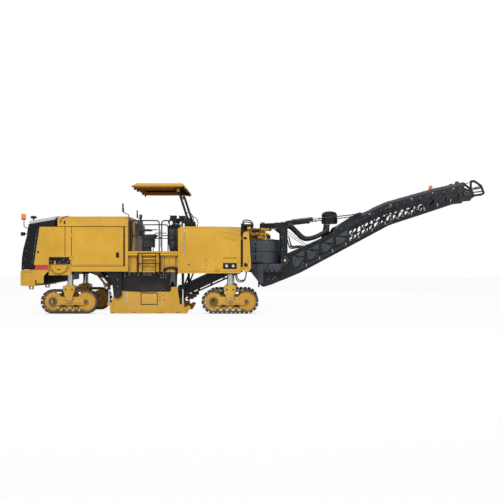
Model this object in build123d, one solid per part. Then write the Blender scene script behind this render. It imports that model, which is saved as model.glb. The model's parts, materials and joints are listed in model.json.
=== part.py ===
from build123d import *
from math import atan2, cos, degrees, hypot, pi, radians, sin
import os

# Cold planer milling machine with crawler tracks and a front-loading conveyor.
# Millimetres. +X forward, +Y to the machine's left, +Z up, the ground at Z = 0.

# Clearances
SEAT = 0.3
RUN = 0.4
SIDE_GAP = 5

# Whole machine
REAR_X = -7300
FRONT_X = 7300
BODY_HALF = 1250
SKIN = 30

# Main frame
BEAM_LOW, BEAM_HIGH = 1290, 1480
BEAM_INNER, BEAM_OUTER = 380, 480
BEAM_REAR, BEAM_FRONT = -6853, -510
CROSS_BEAM_LENGTH = 160
BELLY_HALF = 480
BELLY_REAR_LOW, BELLY_FRONT_LOW, BELLY_FRONT_X = 865, 1050, -5886
LUG_HALF = BODY_HALF - 120

# Lifting legs, one over each crawler
LEG_REAR_X, LEG_FRONT_X, LEG_Y = -5800, -820, BODY_HALF - 200
LEG_RADIUS = 92
SLEEVE_RADIUS = 115
SLEEVE_LOW, SLEEVE_HIGH = 1215, 2000
LEG_TOP = 1640
YOKE_TOP = 862

# Crawlers
TRACK_LENGTH, TRACK_HEIGHT, TRACK_WIDTH = 1770, 756, 300
SHOE_COUNT = 30
PAD_DEPTH, CHAIN_DEPTH = 45, 42
PAD_SHARE = 0.8
ROLLER_RADIUS, ROLLER_COUNT = 70, 5
SPROCKET_TEETH, SPROCKET_TOOTH = 15, 24
TRACK_BEAM_HALF = 60
YOKE_PLATE = 30
YOKE_HALF_LENGTH = 185
YOKE_EYE_RADIUS, YOKE_EYE_Z = 75, 400

# Engine house, its lid and its doors
HOUSE_FRONT_X, HOUSE_TOP = -3973, 2700
HOUSE_FLOOR = 20
SILL_LOW = 1307
PANEL_LOW = 1508
PANEL_REAR_LOW_X, PANEL_REAR_TOP_X = -6878, -6700
DOOR_REAR_X, DOOR_FRONT_X, DOOR_LOW, DOOR_HIGH = -5713, -4112, 1471, 2685
DOOR_THICK = 24
HINGE_RADIUS, HINGE_PIN, HINGE_KNUCKLE = 14, 6, 60
HINGE_OUT = 14
LID_REAR_X, LID_TOP, LID_DROP, LID_CHAMFER = -6150, 3016, 108, 100
LID_SHOULDER = LID_TOP - LID_DROP
LID_SKIN = 25
LID_HINGE_X, LID_HINGE_Z, LID_EYE, LID_PIN = LID_REAR_X - 14, LID_TOP - 8, 11, 5
LID_ARM_IN, LID_ARM_OUT, LID_EYE_OUT = 640, 720, 790
GRILLE_GAP = 30
BOX_REAR_X, BOX_FRONT_X, BOX_LOW, BOX_HIGH = -6439, -5731, 1193, 1771
BOX_DEPTH, BOX_PLATE = 60, 20

# Platform
DECK_FRONT_X, DECK_LOW, DECK_TOP, DECK_PLATE = -2430, 1805, 1932, 30
TUB_HALF = BODY_HALF - 120
LADDER_XS = (-3610, -3035)
LADDER_STILE = 140
LADDER_INNER, LADDER_OUTER = BODY_HALF - 60, BODY_HALF

# Front body
FRONT_BODY_REAR_X, FRONT_BODY_FRONT_X, FRONT_BODY_LOW = -2425, -490, 1252
FRONT_BODY_TOP, FRONT_BODY_NOTCH = 2700, 60
BEVEL_LENGTH, BEVEL_WIDTH, BEVEL_DROP = 800, 330, 215
FRONT_SKIN = 20
TUNNEL_HALF = 420

# Milling chamber
CHAMBER_REAR_X, CHAMBER_FRONT_X = -4486, -2675
CHAMBER_HALF, CHAMBER_WALL = 1025, 30
CHAMBER_TOP = 1290
DRUM_X, DRUM_Z, DRUM_TIP_RADIUS, DRUM_CORE_RADIUS = -3500, 520, 490, 360
DRUM_HALF = CHAMBER_HALF - 25
PICKS_PER_SIDE, PICK_STEP_ANGLE = 30, 48
PICK_WIDTH, PICK_ROOT = 34, 90
PLATE_INNER, PLATE_OUTER = CHAMBER_HALF + 40, CHAMBER_HALF + 70
PLATE_CYLINDER_XS = (-4590, -2290)
PLATE_BARREL_RADIUS, PLATE_ROD_RADIUS = 42, 24
PLATE_BARREL_LOW = 750

# Lower conveyor
LOWER_REAR_X, LOWER_FRONT_X = -2640, 210
LOWER_SLOPE = 24.9
LOWER_HALF, LOWER_DEPTH, LOWER_WALL = 350, 340, 20
LOWER_PASS_X, LOWER_PASS_Z = -1150, 1064

# Swing frame, turning about the upright line at SWING_X
SWING_X = 220
RING_INNER, RING_OUTER, RING_LOW, RING_HIGH = 530, 600, 1280, 1350
MAST_REAR_X, MAST_FRONT_X, MAST_TOP = 779, 996, 2876
CROSSHEAD_REAR_X, CROSSHEAD_LOW, CROSSHEAD_HIGH = 592, 2690, 2860
SWING_PIN_RADIUS = 50
SKIRT_RADIUS, SKIRT_WALL, SKIRT_LOW, SKIRT_TOP, SKIRT_LAP = 545, 12, 1530, 2330, 90

# Upper conveyor, lifted about PIVOT
PIVOT_X, PIVOT_Z, PIVOT_RADIUS = 913, 1655, 60
BOOM_HALF, BOOM_PLATE = 500, 60
TAIL_HALF = 380
BELT_HALF, BELT_THICK = 330, 16
LIFT_REAR = (960, 2862)
LIFT_FRONT = (3300, 3132)
LIFT_Y_AXIS = -670
LIFT_EYE, LIFT_EYE_HALF = 46, 38
LIFT_BARREL_LENGTH, LIFT_BARREL_RADIUS, LIFT_ROD_RADIUS = 840, 52, 28
LIFT_HIDDEN_ROD, LIFT_PIN = 450, 25

# Lashing eyes
LASH_RADIUS = 32

# Canopy
CANOPY_HALF = 1400
CANOPY_POST_Y, CANOPY_POST_HALF = 950, 35
CANOPY_FOOT = (-2150, 2950)
CANOPY_HEAD = (-2440, 3850)


def slab(outline, y_low, y_high):
    """Solid between two Y planes from an outline of (x, z) points."""
    face = make_face(Polyline(*outline, close=True))
    return Pos(0, y_high, 0) * Rot(90, 0, 0) * extrude(face, y_high - y_low, dir=(0, 0, 1))


def flat(face, z_low, z_high):
    """Solid between two Z planes from a face drawn from above."""
    return Pos(0, 0, z_low) * extrude(face, z_high - z_low, dir=(0, 0, 1))


def block(x_low, x_high, y_low, y_high, z_low, z_high):
    """Rectangular solid from its six planes."""
    centre = Pos((x_low + x_high) / 2, (y_low + y_high) / 2, (z_low + z_high) / 2)
    return centre * Box(x_high - x_low, y_high - y_low, z_high - z_low)


def bar(start, end, radius, bore=0):
    """Round bar, or a tube with a bore, between two points."""
    run = Vector(*end) - Vector(*start)
    section = Circle(radius) - Circle(bore) if bore else Circle(radius)
    return extrude(Plane(origin=start, z_dir=run) * section, run.length)


def pin(x, z, y_low, y_high, radius):
    """Round pin along Y."""
    return bar((x, y_low, z), (x, y_high, z), radius)


def bent_bar(points, bend, radius):
    """Round bar along straight runs joined by arcs."""
    path = FilletPolyline(*points, radius=bend)
    return sweep(Plane(origin=path @ 0, z_dir=path % 0) * Circle(radius), path=path)


def mirrored(shape):
    """The same shape on the machine's other side."""
    return mirror(shape, about=Plane.XZ)


def both(*shapes):
    """Shapes on the right side and their mirror images on the left."""
    return [copy for shape in shapes for copy in (shape, mirrored(shape))]


def joined(*shapes):
    """One solid from shapes that meet."""
    return Part() + [solid for shape in shapes for solid in shape.solids()]


def height_on(line, x):
    """Height of a line of (x, z) points at an x."""
    for (x_low, z_low), (x_high, z_high) in zip(line, line[1:]):
        if x <= x_high:
            break
    return z_low + (z_high - z_low) * (x - x_low) / (x_high - x_low)


def save(name, *shapes):
    """Write a sub-part's solids to its file."""
    node = Compound(children=[solid for shape in shapes for solid in shape.solids()])
    node.label = name
    export_step(node, f"parts/{name}.step")


os.makedirs("parts", exist_ok=True)

# Corner name, leg X, leg Y
CORNERS = (
    ("rear_right", LEG_REAR_X, -LEG_Y),
    ("rear_left", LEG_REAR_X, LEG_Y),
    ("front_right", LEG_FRONT_X, -LEG_Y),
    ("front_left", LEG_FRONT_X, LEG_Y),
)

# Crawlers, drawn about a leg's axis and then set at the four corners
TRACK_RADIUS = TRACK_HEIGHT / 2
TRACK_RUN = TRACK_LENGTH - TRACK_HEIGHT
CHAIN_RADIUS = TRACK_RADIUS - PAD_DEPTH
LINK_RADIUS = CHAIN_RADIUS - CHAIN_DEPTH
WHEEL_RADIUS = LINK_RADIUS - RUN


def loop_point(distance, radius):
    """Point (x, z) on the crawler's loop, a distance along its chain, at a radius from its core line."""
    turn = pi * CHAIN_RADIUS
    distance %= 2 * (TRACK_RUN + turn)
    side = 1 if distance < TRACK_RUN + turn else -1
    along = distance % (TRACK_RUN + turn)
    angle = max(0, along - TRACK_RUN) / CHAIN_RADIUS
    x = side * (min(along, TRACK_RUN) - TRACK_RUN / 2 + radius * sin(angle))
    return x, TRACK_RADIUS - side * radius * cos(angle)


def track_loop():
    """Chain and its pads as one loop."""
    pitch = 2 * (TRACK_RUN + pi * CHAIN_RADIUS) / SHOE_COUNT
    pad = pitch * PAD_SHARE
    outline = []
    for shoe in range(SHOE_COUNT):
        start, end = shoe * pitch, shoe * pitch + pad
        outline += [loop_point(start, CHAIN_RADIUS), loop_point(start, TRACK_RADIUS)]
        outline += [loop_point(end, TRACK_RADIUS), loop_point(end, CHAIN_RADIUS)]
    hollow = SlotOverall(TRACK_RUN + 2 * LINK_RADIUS, 2 * LINK_RADIUS)
    face = make_face(Polyline(*outline, close=True)) - Pos(0, TRACK_RADIUS) * hollow
    solid = extrude(face, TRACK_WIDTH, dir=(0, 0, 1))
    return Pos(0, TRACK_WIDTH / 2, 0) * Rot(90, 0, 0) * solid


def sprocket():
    """Toothed wheel that fits inside the loop."""
    outline = []
    for tooth in range(SPROCKET_TEETH):
        for share, depth in ((0, SPROCKET_TOOTH), (0.3, 0), (0.6, 0), (0.8, SPROCKET_TOOTH)):
            angle = 2 * pi * (tooth + share) / SPROCKET_TEETH
            radius = WHEEL_RADIUS - depth
            x = radius * cos(angle) - TRACK_RUN / 2
            outline.append((x, TRACK_RADIUS + radius * sin(angle)))
    return slab(outline, -TRACK_BEAM_HALF, TRACK_BEAM_HALF)


def track_frame():
    """Beam, sprocket, idler, rollers and the yoke that hangs them from the leg."""
    end = TRACK_RUN / 2
    beam_low, beam_high, beam_end, beam_half = 262, 520, 470, 125
    beam_outline = (
        (-beam_end, 300),
        (-beam_end + 60, beam_low),
        (beam_end - 60, beam_low),
        (beam_end, 300),
        (beam_end, 440),
        (beam_end - 170, beam_high),
        (-beam_end + 120, beam_high),
        (-beam_end, 470),
    )
    beam = slab(beam_outline, -beam_half, beam_half)
    keel = block(-beam_end + 40, beam_end - 40, -30, 30, 130, beam_low)
    idler = pin(end, TRACK_RADIUS, -TRACK_BEAM_HALF, TRACK_BEAM_HALF, WHEEL_RADIUS)
    motor = pin(-end, TRACK_RADIUS, -140, 140, 145)
    idler_hub = pin(end, TRACK_RADIUS, -130, 130, 70)
    roller_z = TRACK_RADIUS - WHEEL_RADIUS + ROLLER_RADIUS
    spacing = 2 * (beam_end - 90) / (ROLLER_COUNT - 1)
    rollers = [
        pin((n - (ROLLER_COUNT - 1) / 2) * spacing, roller_z, -115, 115, ROLLER_RADIUS)
        for n in range(ROLLER_COUNT)
    ]
    inner = TRACK_WIDTH / 2 + 15
    outer = inner + YOKE_PLATE
    cheek_outline = (
        (-YOKE_HALF_LENGTH, YOKE_TOP),
        (-YOKE_HALF_LENGTH, YOKE_TOP - 90),
        (-YOKE_EYE_RADIUS, YOKE_EYE_Z - 20),
        (-45, YOKE_EYE_Z - 70),
        (45, YOKE_EYE_Z - 70),
        (YOKE_EYE_RADIUS, YOKE_EYE_Z - 20),
        (YOKE_HALF_LENGTH, YOKE_TOP - 90),
        (YOKE_HALF_LENGTH, YOKE_TOP),
    )
    cheek = slab(cheek_outline, inner, outer)
    for x in (-100, 100):
        cheek -= pin(x, YOKE_TOP - 115, inner - 1, outer + 1, 28)
    crown = block(
        -YOKE_HALF_LENGTH, YOKE_HALF_LENGTH, -outer, outer, TRACK_HEIGHT + 40, YOKE_TOP
    )
    rocker = pin(0, YOKE_EYE_Z, -outer - 12, outer + 12, 45)
    return joined(
        beam, keel, sprocket(), idler, motor, idler_hub, *rollers, crown, *both(cheek), rocker
    )


loop = track_loop()
carrier = track_frame()
for corner, leg_x, leg_y in CORNERS:
    save(f"track_loop_{corner}", Pos(leg_x, leg_y, 0) * loop)
    save(f"track_frame_{corner}", Pos(leg_x, leg_y, 0) * carrier)
    column = bar((leg_x, leg_y, YOKE_TOP + SEAT), (leg_x, leg_y, LEG_TOP), LEG_RADIUS)
    save(f"leg_column_{corner}", column)


# Main frame: two beams, the belly, cross beams, and the sleeves that guide the legs
def main_frame():
    beams = both(block(BEAM_REAR, BEAM_FRONT, BEAM_INNER, BEAM_OUTER, BEAM_LOW, BEAM_HIGH))
    belly_outline = (
        (BEAM_REAR, BELLY_REAR_LOW),
        (BELLY_FRONT_X, BELLY_FRONT_LOW),
        (BELLY_FRONT_X, BEAM_LOW),
        (BEAM_REAR, BEAM_LOW),
    )
    belly = slab(belly_outline, -BELLY_HALF, BELLY_HALF)
    half = CROSS_BEAM_LENGTH / 2
    sleeves, arms = [], []
    for _, leg_x, leg_y in CORNERS:
        axis_low, axis_high = (leg_x, leg_y, SLEEVE_LOW), (leg_x, leg_y, SLEEVE_HIGH)
        sleeves.append(bar(axis_low, axis_high, SLEEVE_RADIUS, LEG_RADIUS + RUN))
        side = 1 if leg_y > 0 else -1
        y_low, y_high = sorted((side * BEAM_OUTER, side * (LEG_Y - LEG_RADIUS - 8)))
        arms.append(block(leg_x - half, leg_x + half, y_low, y_high, BEAM_LOW, BEAM_HIGH))
    for x in PLATE_CYLINDER_XS:
        arms += both(block(x - half, x + half, BEAM_OUTER, LUG_HALF + 60, BEAM_LOW, 1400))
    for x in (BEAM_REAR + half, PLATE_CYLINDER_XS[0], CHAMBER_FRONT_X):
        arms.append(block(x - half, x + half, -BEAM_INNER, BEAM_INNER, BEAM_LOW, BEAM_HIGH))
    return joined(*beams, belly, *sleeves, *arms)


save("main_frame", main_frame())


# Engine house: side walls with their door openings, floor and end walls
def sleeve_holes(x, z_low, z_high, radius=SLEEVE_RADIUS + RUN):
    """Round cutters where a pair of leg sleeves passes."""
    return both(bar((x, -LEG_Y, z_low), (x, -LEG_Y, z_high), radius))


def engine_house():
    wall_outline = (
        (PANEL_REAR_LOW_X, PANEL_LOW),
        (PANEL_REAR_TOP_X, HOUSE_TOP),
        (HOUSE_FRONT_X, HOUSE_TOP),
        (HOUSE_FRONT_X, SILL_LOW),
        (BOX_FRONT_X, SILL_LOW),
        (BOX_FRONT_X, BOX_HIGH),
        (BOX_REAR_X, BOX_HIGH),
        (BOX_REAR_X, PANEL_LOW),
    )
    wall = slab(wall_outline, -BODY_HALF, -BODY_HALF + SKIN)
    wall -= block(
        DOOR_REAR_X, DOOR_FRONT_X, -BODY_HALF - 1, -BODY_HALF + SKIN + 1, DOOR_LOW, DOOR_HIGH
    )
    inner = BODY_HALF - SKIN
    floor = block(
        PANEL_REAR_LOW_X + 60, HOUSE_FRONT_X, -inner, inner, BEAM_HIGH, BEAM_HIGH + HOUSE_FLOOR
    )
    for hole in sleeve_holes(LEG_REAR_X, BEAM_HIGH - 1, BEAM_HIGH + HOUSE_FLOOR + 1):
        floor -= hole
    notch_inner = -BODY_HALF + BOX_DEPTH + BOX_PLATE
    floor_high = BEAM_HIGH + HOUSE_FLOOR
    for notch in both(
        block(BOX_REAR_X, BOX_FRONT_X, -inner - 1, notch_inner, BEAM_HIGH - 1, floor_high + 1)
    ):
        floor -= notch
    front = block(
        HOUSE_FRONT_X - SKIN, HOUSE_FRONT_X, -inner, inner, BEAM_HIGH + HOUSE_FLOOR, HOUSE_TOP
    )
    rear = block(
        PANEL_REAR_TOP_X, PANEL_REAR_TOP_X + SKIN, -inner, inner, BEAM_HIGH + HOUSE_FLOOR, HOUSE_TOP
    )
    return joined(*both(wall), floor, front, rear)


def hood():
    """Lid over the engine: a chamfered shell open below, with end walls."""
    low = HOUSE_TOP + SEAT

    def section(half, top, shoulder, chamfer):
        points = (
            (-half, low),
            (-half, shoulder),
            (-half + chamfer, top),
            (half - chamfer, top),
            (half, shoulder),
            (half, low),
        )
        return make_face(Polyline(*points, close=True))

    shell = section(BODY_HALF, LID_TOP, LID_SHOULDER, LID_CHAMFER)
    core = section(
        BODY_HALF - LID_SKIN, LID_TOP - LID_SKIN, LID_SHOULDER - LID_SKIN / 2, LID_CHAMFER
    )
    length = HOUSE_FRONT_X - LID_REAR_X
    outer = extrude(shell, length, dir=(0, 0, 1))
    inner = Pos(0, 0, LID_SKIN) * extrude(core, length - 2 * LID_SKIN, dir=(0, 0, 1))
    stand = Plane(origin=(LID_REAR_X, 0, 0), x_dir=(0, 1, 0), z_dir=(1, 0, 0))
    eye_in = -LID_ARM_OUT - SEAT
    eye = pin(LID_HINGE_X, LID_HINGE_Z, -LID_EYE_OUT, eye_in, LID_EYE)
    strap = block(
        LID_HINGE_X + LID_PIN + 2, LID_REAR_X + 8, -LID_EYE_OUT, eye_in, LID_HINGE_Z - 9, LID_TOP
    )
    bore = pin(LID_HINGE_X, LID_HINGE_Z, -LID_EYE_OUT - 1, eye_in + 1, LID_PIN + RUN)
    eye = joined(eye, strap) - bore
    return joined(stand.location * (outer - inner), *both(eye))


def lid_arm():
    """Curved arm from the shroud to the lid's hinge, with the pin at its end."""
    right_x = LID_REAR_X - 2 * SIDE_GAP
    outline = (
        (-6290, 2860),
        (-6245, 2860),
        (right_x, LID_HINGE_Z - 25),
        (right_x, LID_HINGE_Z + 6),
        (LID_HINGE_X - 7, LID_HINGE_Z + 6),
        (LID_HINGE_X - 8, 2976),
        (-6215, 2925),
        (-6290, 2920),
    )
    arm = slab(outline, -LID_ARM_OUT, -LID_ARM_IN)
    spindle = pin(LID_HINGE_X, LID_HINGE_Z, -LID_EYE_OUT, -LID_ARM_OUT + 20, LID_PIN)
    return joined(arm, spindle)


def doors():
    """Right door with its latch and hinge straps, and the knuckles on the house."""
    panel = block(
        DOOR_REAR_X + SIDE_GAP,
        DOOR_FRONT_X - SIDE_GAP,
        -BODY_HALF,
        -BODY_HALF + DOOR_THICK,
        DOOR_LOW + SIDE_GAP,
        DOOR_HIGH - SIDE_GAP,
    )
    latch_x = DOOR_FRONT_X - 48
    latch = block(latch_x - 75, latch_x, -BODY_HALF - 18, -BODY_HALF, 1735, 1905)
    y = -BODY_HALF - HINGE_OUT
    straps, knuckles = [], []
    for z in (DOOR_LOW + 200, DOOR_HIGH - 200 - 2 * HINGE_KNUCKLE):
        middle, top = z + HINGE_KNUCKLE, z + 2 * HINGE_KNUCKLE
        low_eye = bar((DOOR_REAR_X, y, z), (DOOR_REAR_X, y, middle), HINGE_RADIUS)
        spindle = bar((DOOR_REAR_X, y, middle), (DOOR_REAR_X, y, top), HINGE_PIN)
        leaf = block(DOOR_REAR_X - 70, DOOR_REAR_X, y, -BODY_HALF, z, middle)
        knuckles.append(joined(low_eye, spindle, leaf))
        eye_low = middle + SEAT
        eye = bar(
            (DOOR_REAR_X, y, eye_low), (DOOR_REAR_X, y, top), HINGE_RADIUS, HINGE_PIN + RUN
        )
        strap = block(DOOR_REAR_X + HINGE_PIN + 4, DOOR_REAR_X + 90, y, -BODY_HALF, eye_low, top)
        straps.append(joined(eye, strap))
    return joined(panel, latch, *straps), knuckles


save("hood", hood())
door, knuckles = doors()
save("engine_house", joined(engine_house(), *both(*knuckles)))
save("door_right", door)
save("door_left", mirrored(door))
save("engine_block", block(-5450, -4350, -420, 420, BEAM_HIGH + HOUSE_FLOOR, 2350))


# Service box on each side ahead of the rear leg, with a half-round lid
def service_box():
    inner = BODY_HALF - BOX_DEPTH
    back = block(BOX_REAR_X, BOX_FRONT_X, -inner, -inner + BOX_PLATE, BOX_LOW, BOX_HIGH)
    ends = [
        block(x, x + 20, -BODY_HALF, -inner, BOX_LOW + 90, BOX_HIGH)
        for x in (BOX_REAR_X, BOX_FRONT_X - 20)
    ]
    top = block(BOX_REAR_X, BOX_FRONT_X, -BODY_HALF, -inner, BOX_HIGH - 20, BOX_HIGH)
    middle_x = (BOX_REAR_X + BOX_FRONT_X) / 2 - 20
    radius = 265
    lid = pin(middle_x, PANEL_LOW - 5, -BODY_HALF, -inner, radius)
    lid -= block(
        middle_x - radius, middle_x + radius, -BODY_HALF - 1, -inner + 1, PANEL_LOW - 5, BOX_HIGH
    )
    cap = bar((-6230, -inner - 45, PANEL_LOW - 5), (-6230, -inner - 45, BOX_HIGH - 131), 28)
    return joined(back, *ends, top, lid, cap)


box = service_box()
save("service_boxes", *both(box))


# Rear shroud with a louvred outlet, the sloping grille over it, and the counterweight
SHROUD_REAR = (
    (-7267, 1369),
    (-7250, 1730),
    (-7208, 2003),
    (-7090, 2441),
    (-7044, 2772),
)
SHROUD_FRONT = (
    (-6229, 2914),
    (-6229, 2723),
    (-6700, 2703),
    (-6705, 2670),
    (PANEL_REAR_LOW_X, PANEL_LOW),
    (PANEL_REAR_LOW_X, 1369),
)


def rear_shroud():
    shell = slab(SHROUD_REAR + SHROUD_FRONT, -BODY_HALF, BODY_HALF)
    wall = 45
    hollow_outline = (
        (SHROUD_REAR[0][0] - 100, 1480),
        (SHROUD_REAR[0][0] - 100, 2640),
        (-6790, 2640),
        (-6935, 1960),
        (-6965, 1480),
    )
    shell -= slab(hollow_outline, -BODY_HALF + 110, BODY_HALF - 110)
    louvre = ((0, 0), (-95, -46), (-95, -56), (0, -10))
    slats = []
    count, low, high = 11, 1560, 2620
    for n in range(count):
        z = low + (high - low) * n / (count - 1)
        share = (z - SHROUD_REAR[0][1]) / (SHROUD_REAR[-1][1] - SHROUD_REAR[0][1])
        x = -7160 + 170 * share * share
        outline = [(x + dx + wall, z + dz) for dx, dz in louvre]
        slats.append(slab(outline, -BODY_HALF + 110, BODY_HALF - 110))
    return joined(shell, *slats, *both(lid_arm()))


def cooling_grille():
    """Sloping frame with cross slats on top of the shroud."""
    rear_x, front_x = -7040, LID_REAR_X - GRILLE_GAP
    slope = (3030 - 2872) / (front_x - rear_x)
    half, rim, depth = 1190, 60, 55

    def height(x):
        return 2872 + slope * (x - rear_x)

    def plank(x_low, x_high, thick, y_low, y_high):
        outline = (
            (x_low, height(x_low) - thick),
            (x_low, height(x_low)),
            (x_high, height(x_high)),
            (x_high, height(x_high) - thick),
        )
        return slab(outline, y_low, y_high)

    pieces = [
        plank(rear_x, rear_x + rim, depth, -half, half),
        plank(front_x - rim, front_x, depth, -half, half),
        *both(plank(rear_x, front_x, depth, -half, -half + rim)),
        plank(rear_x, front_x, depth, -15, 15),
    ]
    count = 11
    pitch = (front_x - rear_x - 2 * rim) / count
    for n in range(count):
        x = rear_x + rim + (n + 0.3) * pitch
        pieces.append(plank(x, x + pitch * 0.4, 16, -half, half))
    shroud_top = (SHROUD_REAR[-1], SHROUD_FRONT[0])
    foot_outline = (
        (-7030, height_on(shroud_top, -7030)),
        (-7030, height(-7030) - 20),
        (-6230, height(-6230) - 20),
        (-6230, height_on(shroud_top, -6230)),
    )
    pieces += both(slab(foot_outline, -half, -half + 25))
    return joined(*pieces)


def rear_bumper():
    """Counterweight block with chamfered edges and a recess in each side."""
    low, high, front_x, edge = 862, 1357, BEAM_REAR, 40
    outline = (
        (REAR_X + edge, low),
        (REAR_X, low + edge),
        (REAR_X, high - edge),
        (REAR_X + edge, high),
        (front_x, high),
        (front_x, low),
    )
    body = slab(outline, -BODY_HALF + 20, BODY_HALF - 20)
    for recess in both(
        block(REAR_X + 70, front_x - 60, -BODY_HALF, -BODY_HALF + 45, low + 60, high - 60)
    ):
        body -= recess
    for pocket in both(block(REAR_X - 1, REAR_X + 50, -980, -420, low + 110, high - 110)):
        body -= pocket
    return body


save("rear_shroud", rear_shroud())
save("cooling_grille", cooling_grille())
gusset_outline = ((-6853, 1365), (-6439, 1365), (-6439, 1330), (-6680, 1060), (-6853, 1040))
gusset = slab(gusset_outline, -BODY_HALF + 20, -BODY_HALF + 60)
save("rear_bumper", joined(rear_bumper(), *both(gusset)))
reflector_low = 1365 + SEAT
save("reflectors", *both(block(-6850, -6441, -BODY_HALF + 8, -BODY_HALF + 28, reflector_low, 1490)))


# Platform between the engine house and the front body
def platform():
    """Deck with its edge beams, over a closed tub with upright ribs."""
    rear_x, front_x, under = HOUSE_FRONT_X, DECK_FRONT_X, DECK_TOP - DECK_PLATE
    deck = block(rear_x, front_x, -BODY_HALF, BODY_HALF, under, DECK_TOP)
    edge = block(rear_x, front_x, -BODY_HALF, -BODY_HALF + 60, DECK_LOW, under - SEAT)
    tub = block(rear_x, front_x, -TUB_HALF, TUB_HALF, BEAM_HIGH, under - SEAT)
    low = CHAMBER_TOP + SEAT
    skirt = block(rear_x, front_x, -TUB_HALF, -BEAM_OUTER - SEAT, low, BEAM_HIGH - SEAT)
    ribs = [
        block(x, x + 14, -TUB_HALF - 50, -TUB_HALF - SEAT, low, under - SEAT)
        for x in (-3900, -3740, -2900, -2720, -2540)
    ]
    return [deck, tub, *both(edge, skirt, *ribs)]


def ladder():
    """Two channel stiles, a rung, a foot plate and the stays to the tub."""
    low = CHAMBER_TOP + SEAT
    inner, outer = LADDER_INNER, LADDER_OUTER
    pieces = []
    for x in LADDER_XS:
        half = LADDER_STILE / 2
        stile = block(x - half, x + half, -outer, -inner, low, DECK_LOW - SEAT)
        stile -= block(x - half + 20, x + half - 20, -outer - 1, -outer + 40, low + 60, DECK_LOW)
        pieces.append(stile)
        pieces.append(block(x - 30, x + 30, -inner + SEAT, -TUB_HALF - SEAT, 1600, 1660))
    left, right = LADDER_XS[0] + LADDER_STILE / 2 + SEAT, LADDER_XS[1] - LADDER_STILE / 2 - SEAT
    for z in (low, 1515, 1700):
        pieces.append(block(left, right, -outer, -inner - 5, z, z + 30))
    return pieces


save("platform", *platform())
save("ladders", *both(*ladder()))


# Front body: a shell round the front legs and the lower conveyor
FRONT_OUTLINE = (
    (FRONT_BODY_REAR_X, FRONT_BODY_LOW),
    (FRONT_BODY_REAR_X, FRONT_BODY_TOP - FRONT_BODY_NOTCH),
    (FRONT_BODY_REAR_X + 2 * FRONT_BODY_NOTCH, FRONT_BODY_TOP),
    (FRONT_BODY_FRONT_X, FRONT_BODY_TOP),
    (FRONT_BODY_FRONT_X, FRONT_BODY_LOW),
)
POST_REAR_X, POST_FRONT_X, POST_LOW, POST_HIGH = -416, -181, 1295, 2534
POST_OUTER, POST_INNER = BODY_HALF - 30, BODY_HALF - 210
POST_EYE_X, POST_EYE_Z = -330, 1510


def side_bevel(inset):
    """Cutter for the bevel that widens towards the front, set in by a wall's thickness."""
    foot = Vector(FRONT_BODY_FRONT_X - BEVEL_LENGTH, -BODY_HALF, FRONT_BODY_TOP)
    along = Vector(BEVEL_LENGTH, 0, -BEVEL_DROP)
    across = Vector(BEVEL_LENGTH, BEVEL_WIDTH, 0)
    normal = along.cross(across).normalized()
    reach = 3 * BEVEL_LENGTH
    cutter = Box(reach, reach, BEVEL_LENGTH, align=(Align.CENTER, Align.CENTER, Align.MIN))
    return Plane(origin=foot - normal * inset, x_dir=along, z_dir=normal).location * cutter


def front_body():
    skin = FRONT_SKIN
    shell = slab(FRONT_OUTLINE, -BODY_HALF, BODY_HALF)
    core_outline = (
        (FRONT_BODY_REAR_X + skin, FRONT_BODY_LOW - 1),
        (FRONT_BODY_REAR_X + skin, FRONT_BODY_TOP - FRONT_BODY_NOTCH - skin),
        (FRONT_BODY_REAR_X + 2 * FRONT_BODY_NOTCH + skin, FRONT_BODY_TOP - skin),
        (FRONT_BODY_FRONT_X - skin, FRONT_BODY_TOP - skin),
        (FRONT_BODY_FRONT_X - skin, FRONT_BODY_LOW - 1),
    )
    core = slab(core_outline, -BODY_HALF + skin, BODY_HALF - skin)
    for outer, inner in zip(both(side_bevel(0)), both(side_bevel(skin))):
        shell -= outer
        core -= inner
    shell -= core
    shell -= block(
        FRONT_BODY_FRONT_X - skin - 1,
        FRONT_BODY_FRONT_X + 1,
        -TUNNEL_HALF,
        TUNNEL_HALF,
        FRONT_BODY_LOW - 1,
        2180,
    )
    for y_low, y_high in ((-BEAM_OUTER - 2, -BEAM_INNER + 2), (BEAM_INNER - 2, BEAM_OUTER + 2)):
        shell -= block(
            FRONT_BODY_REAR_X - 1,
            FRONT_BODY_REAR_X + skin + 1,
            y_low,
            y_high,
            FRONT_BODY_LOW - 1,
            BEAM_HIGH + 2,
        )
    return shell


def front_posts():
    """Box post ahead of each side, tied to the body by two tabs, with an eye near its foot."""
    outline = (
        (POST_REAR_X, POST_LOW + 60),
        (POST_REAR_X + 50, POST_LOW),
        (POST_FRONT_X - 80, POST_LOW),
        (POST_FRONT_X, POST_LOW + 90),
        (POST_FRONT_X, POST_EYE_Z + 150),
        (POST_FRONT_X - 50, POST_HIGH - 60),
        (POST_FRONT_X - 90, POST_HIGH),
        (POST_REAR_X + 40, POST_HIGH),
        (POST_REAR_X, POST_HIGH - 60),
    )
    post = slab(outline, -POST_OUTER, -POST_INNER)
    tabs = [
        block(FRONT_BODY_FRONT_X, POST_REAR_X, -POST_OUTER + 30, -POST_INNER, z, z + 130)
        for z in (POST_LOW + 20, POST_HIGH - 250)
    ]
    post = joined(post, *tabs)
    return post - pin(POST_EYE_X, POST_EYE_Z, -POST_OUTER - 1, -POST_INNER + 1, LASH_RADIUS)


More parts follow.
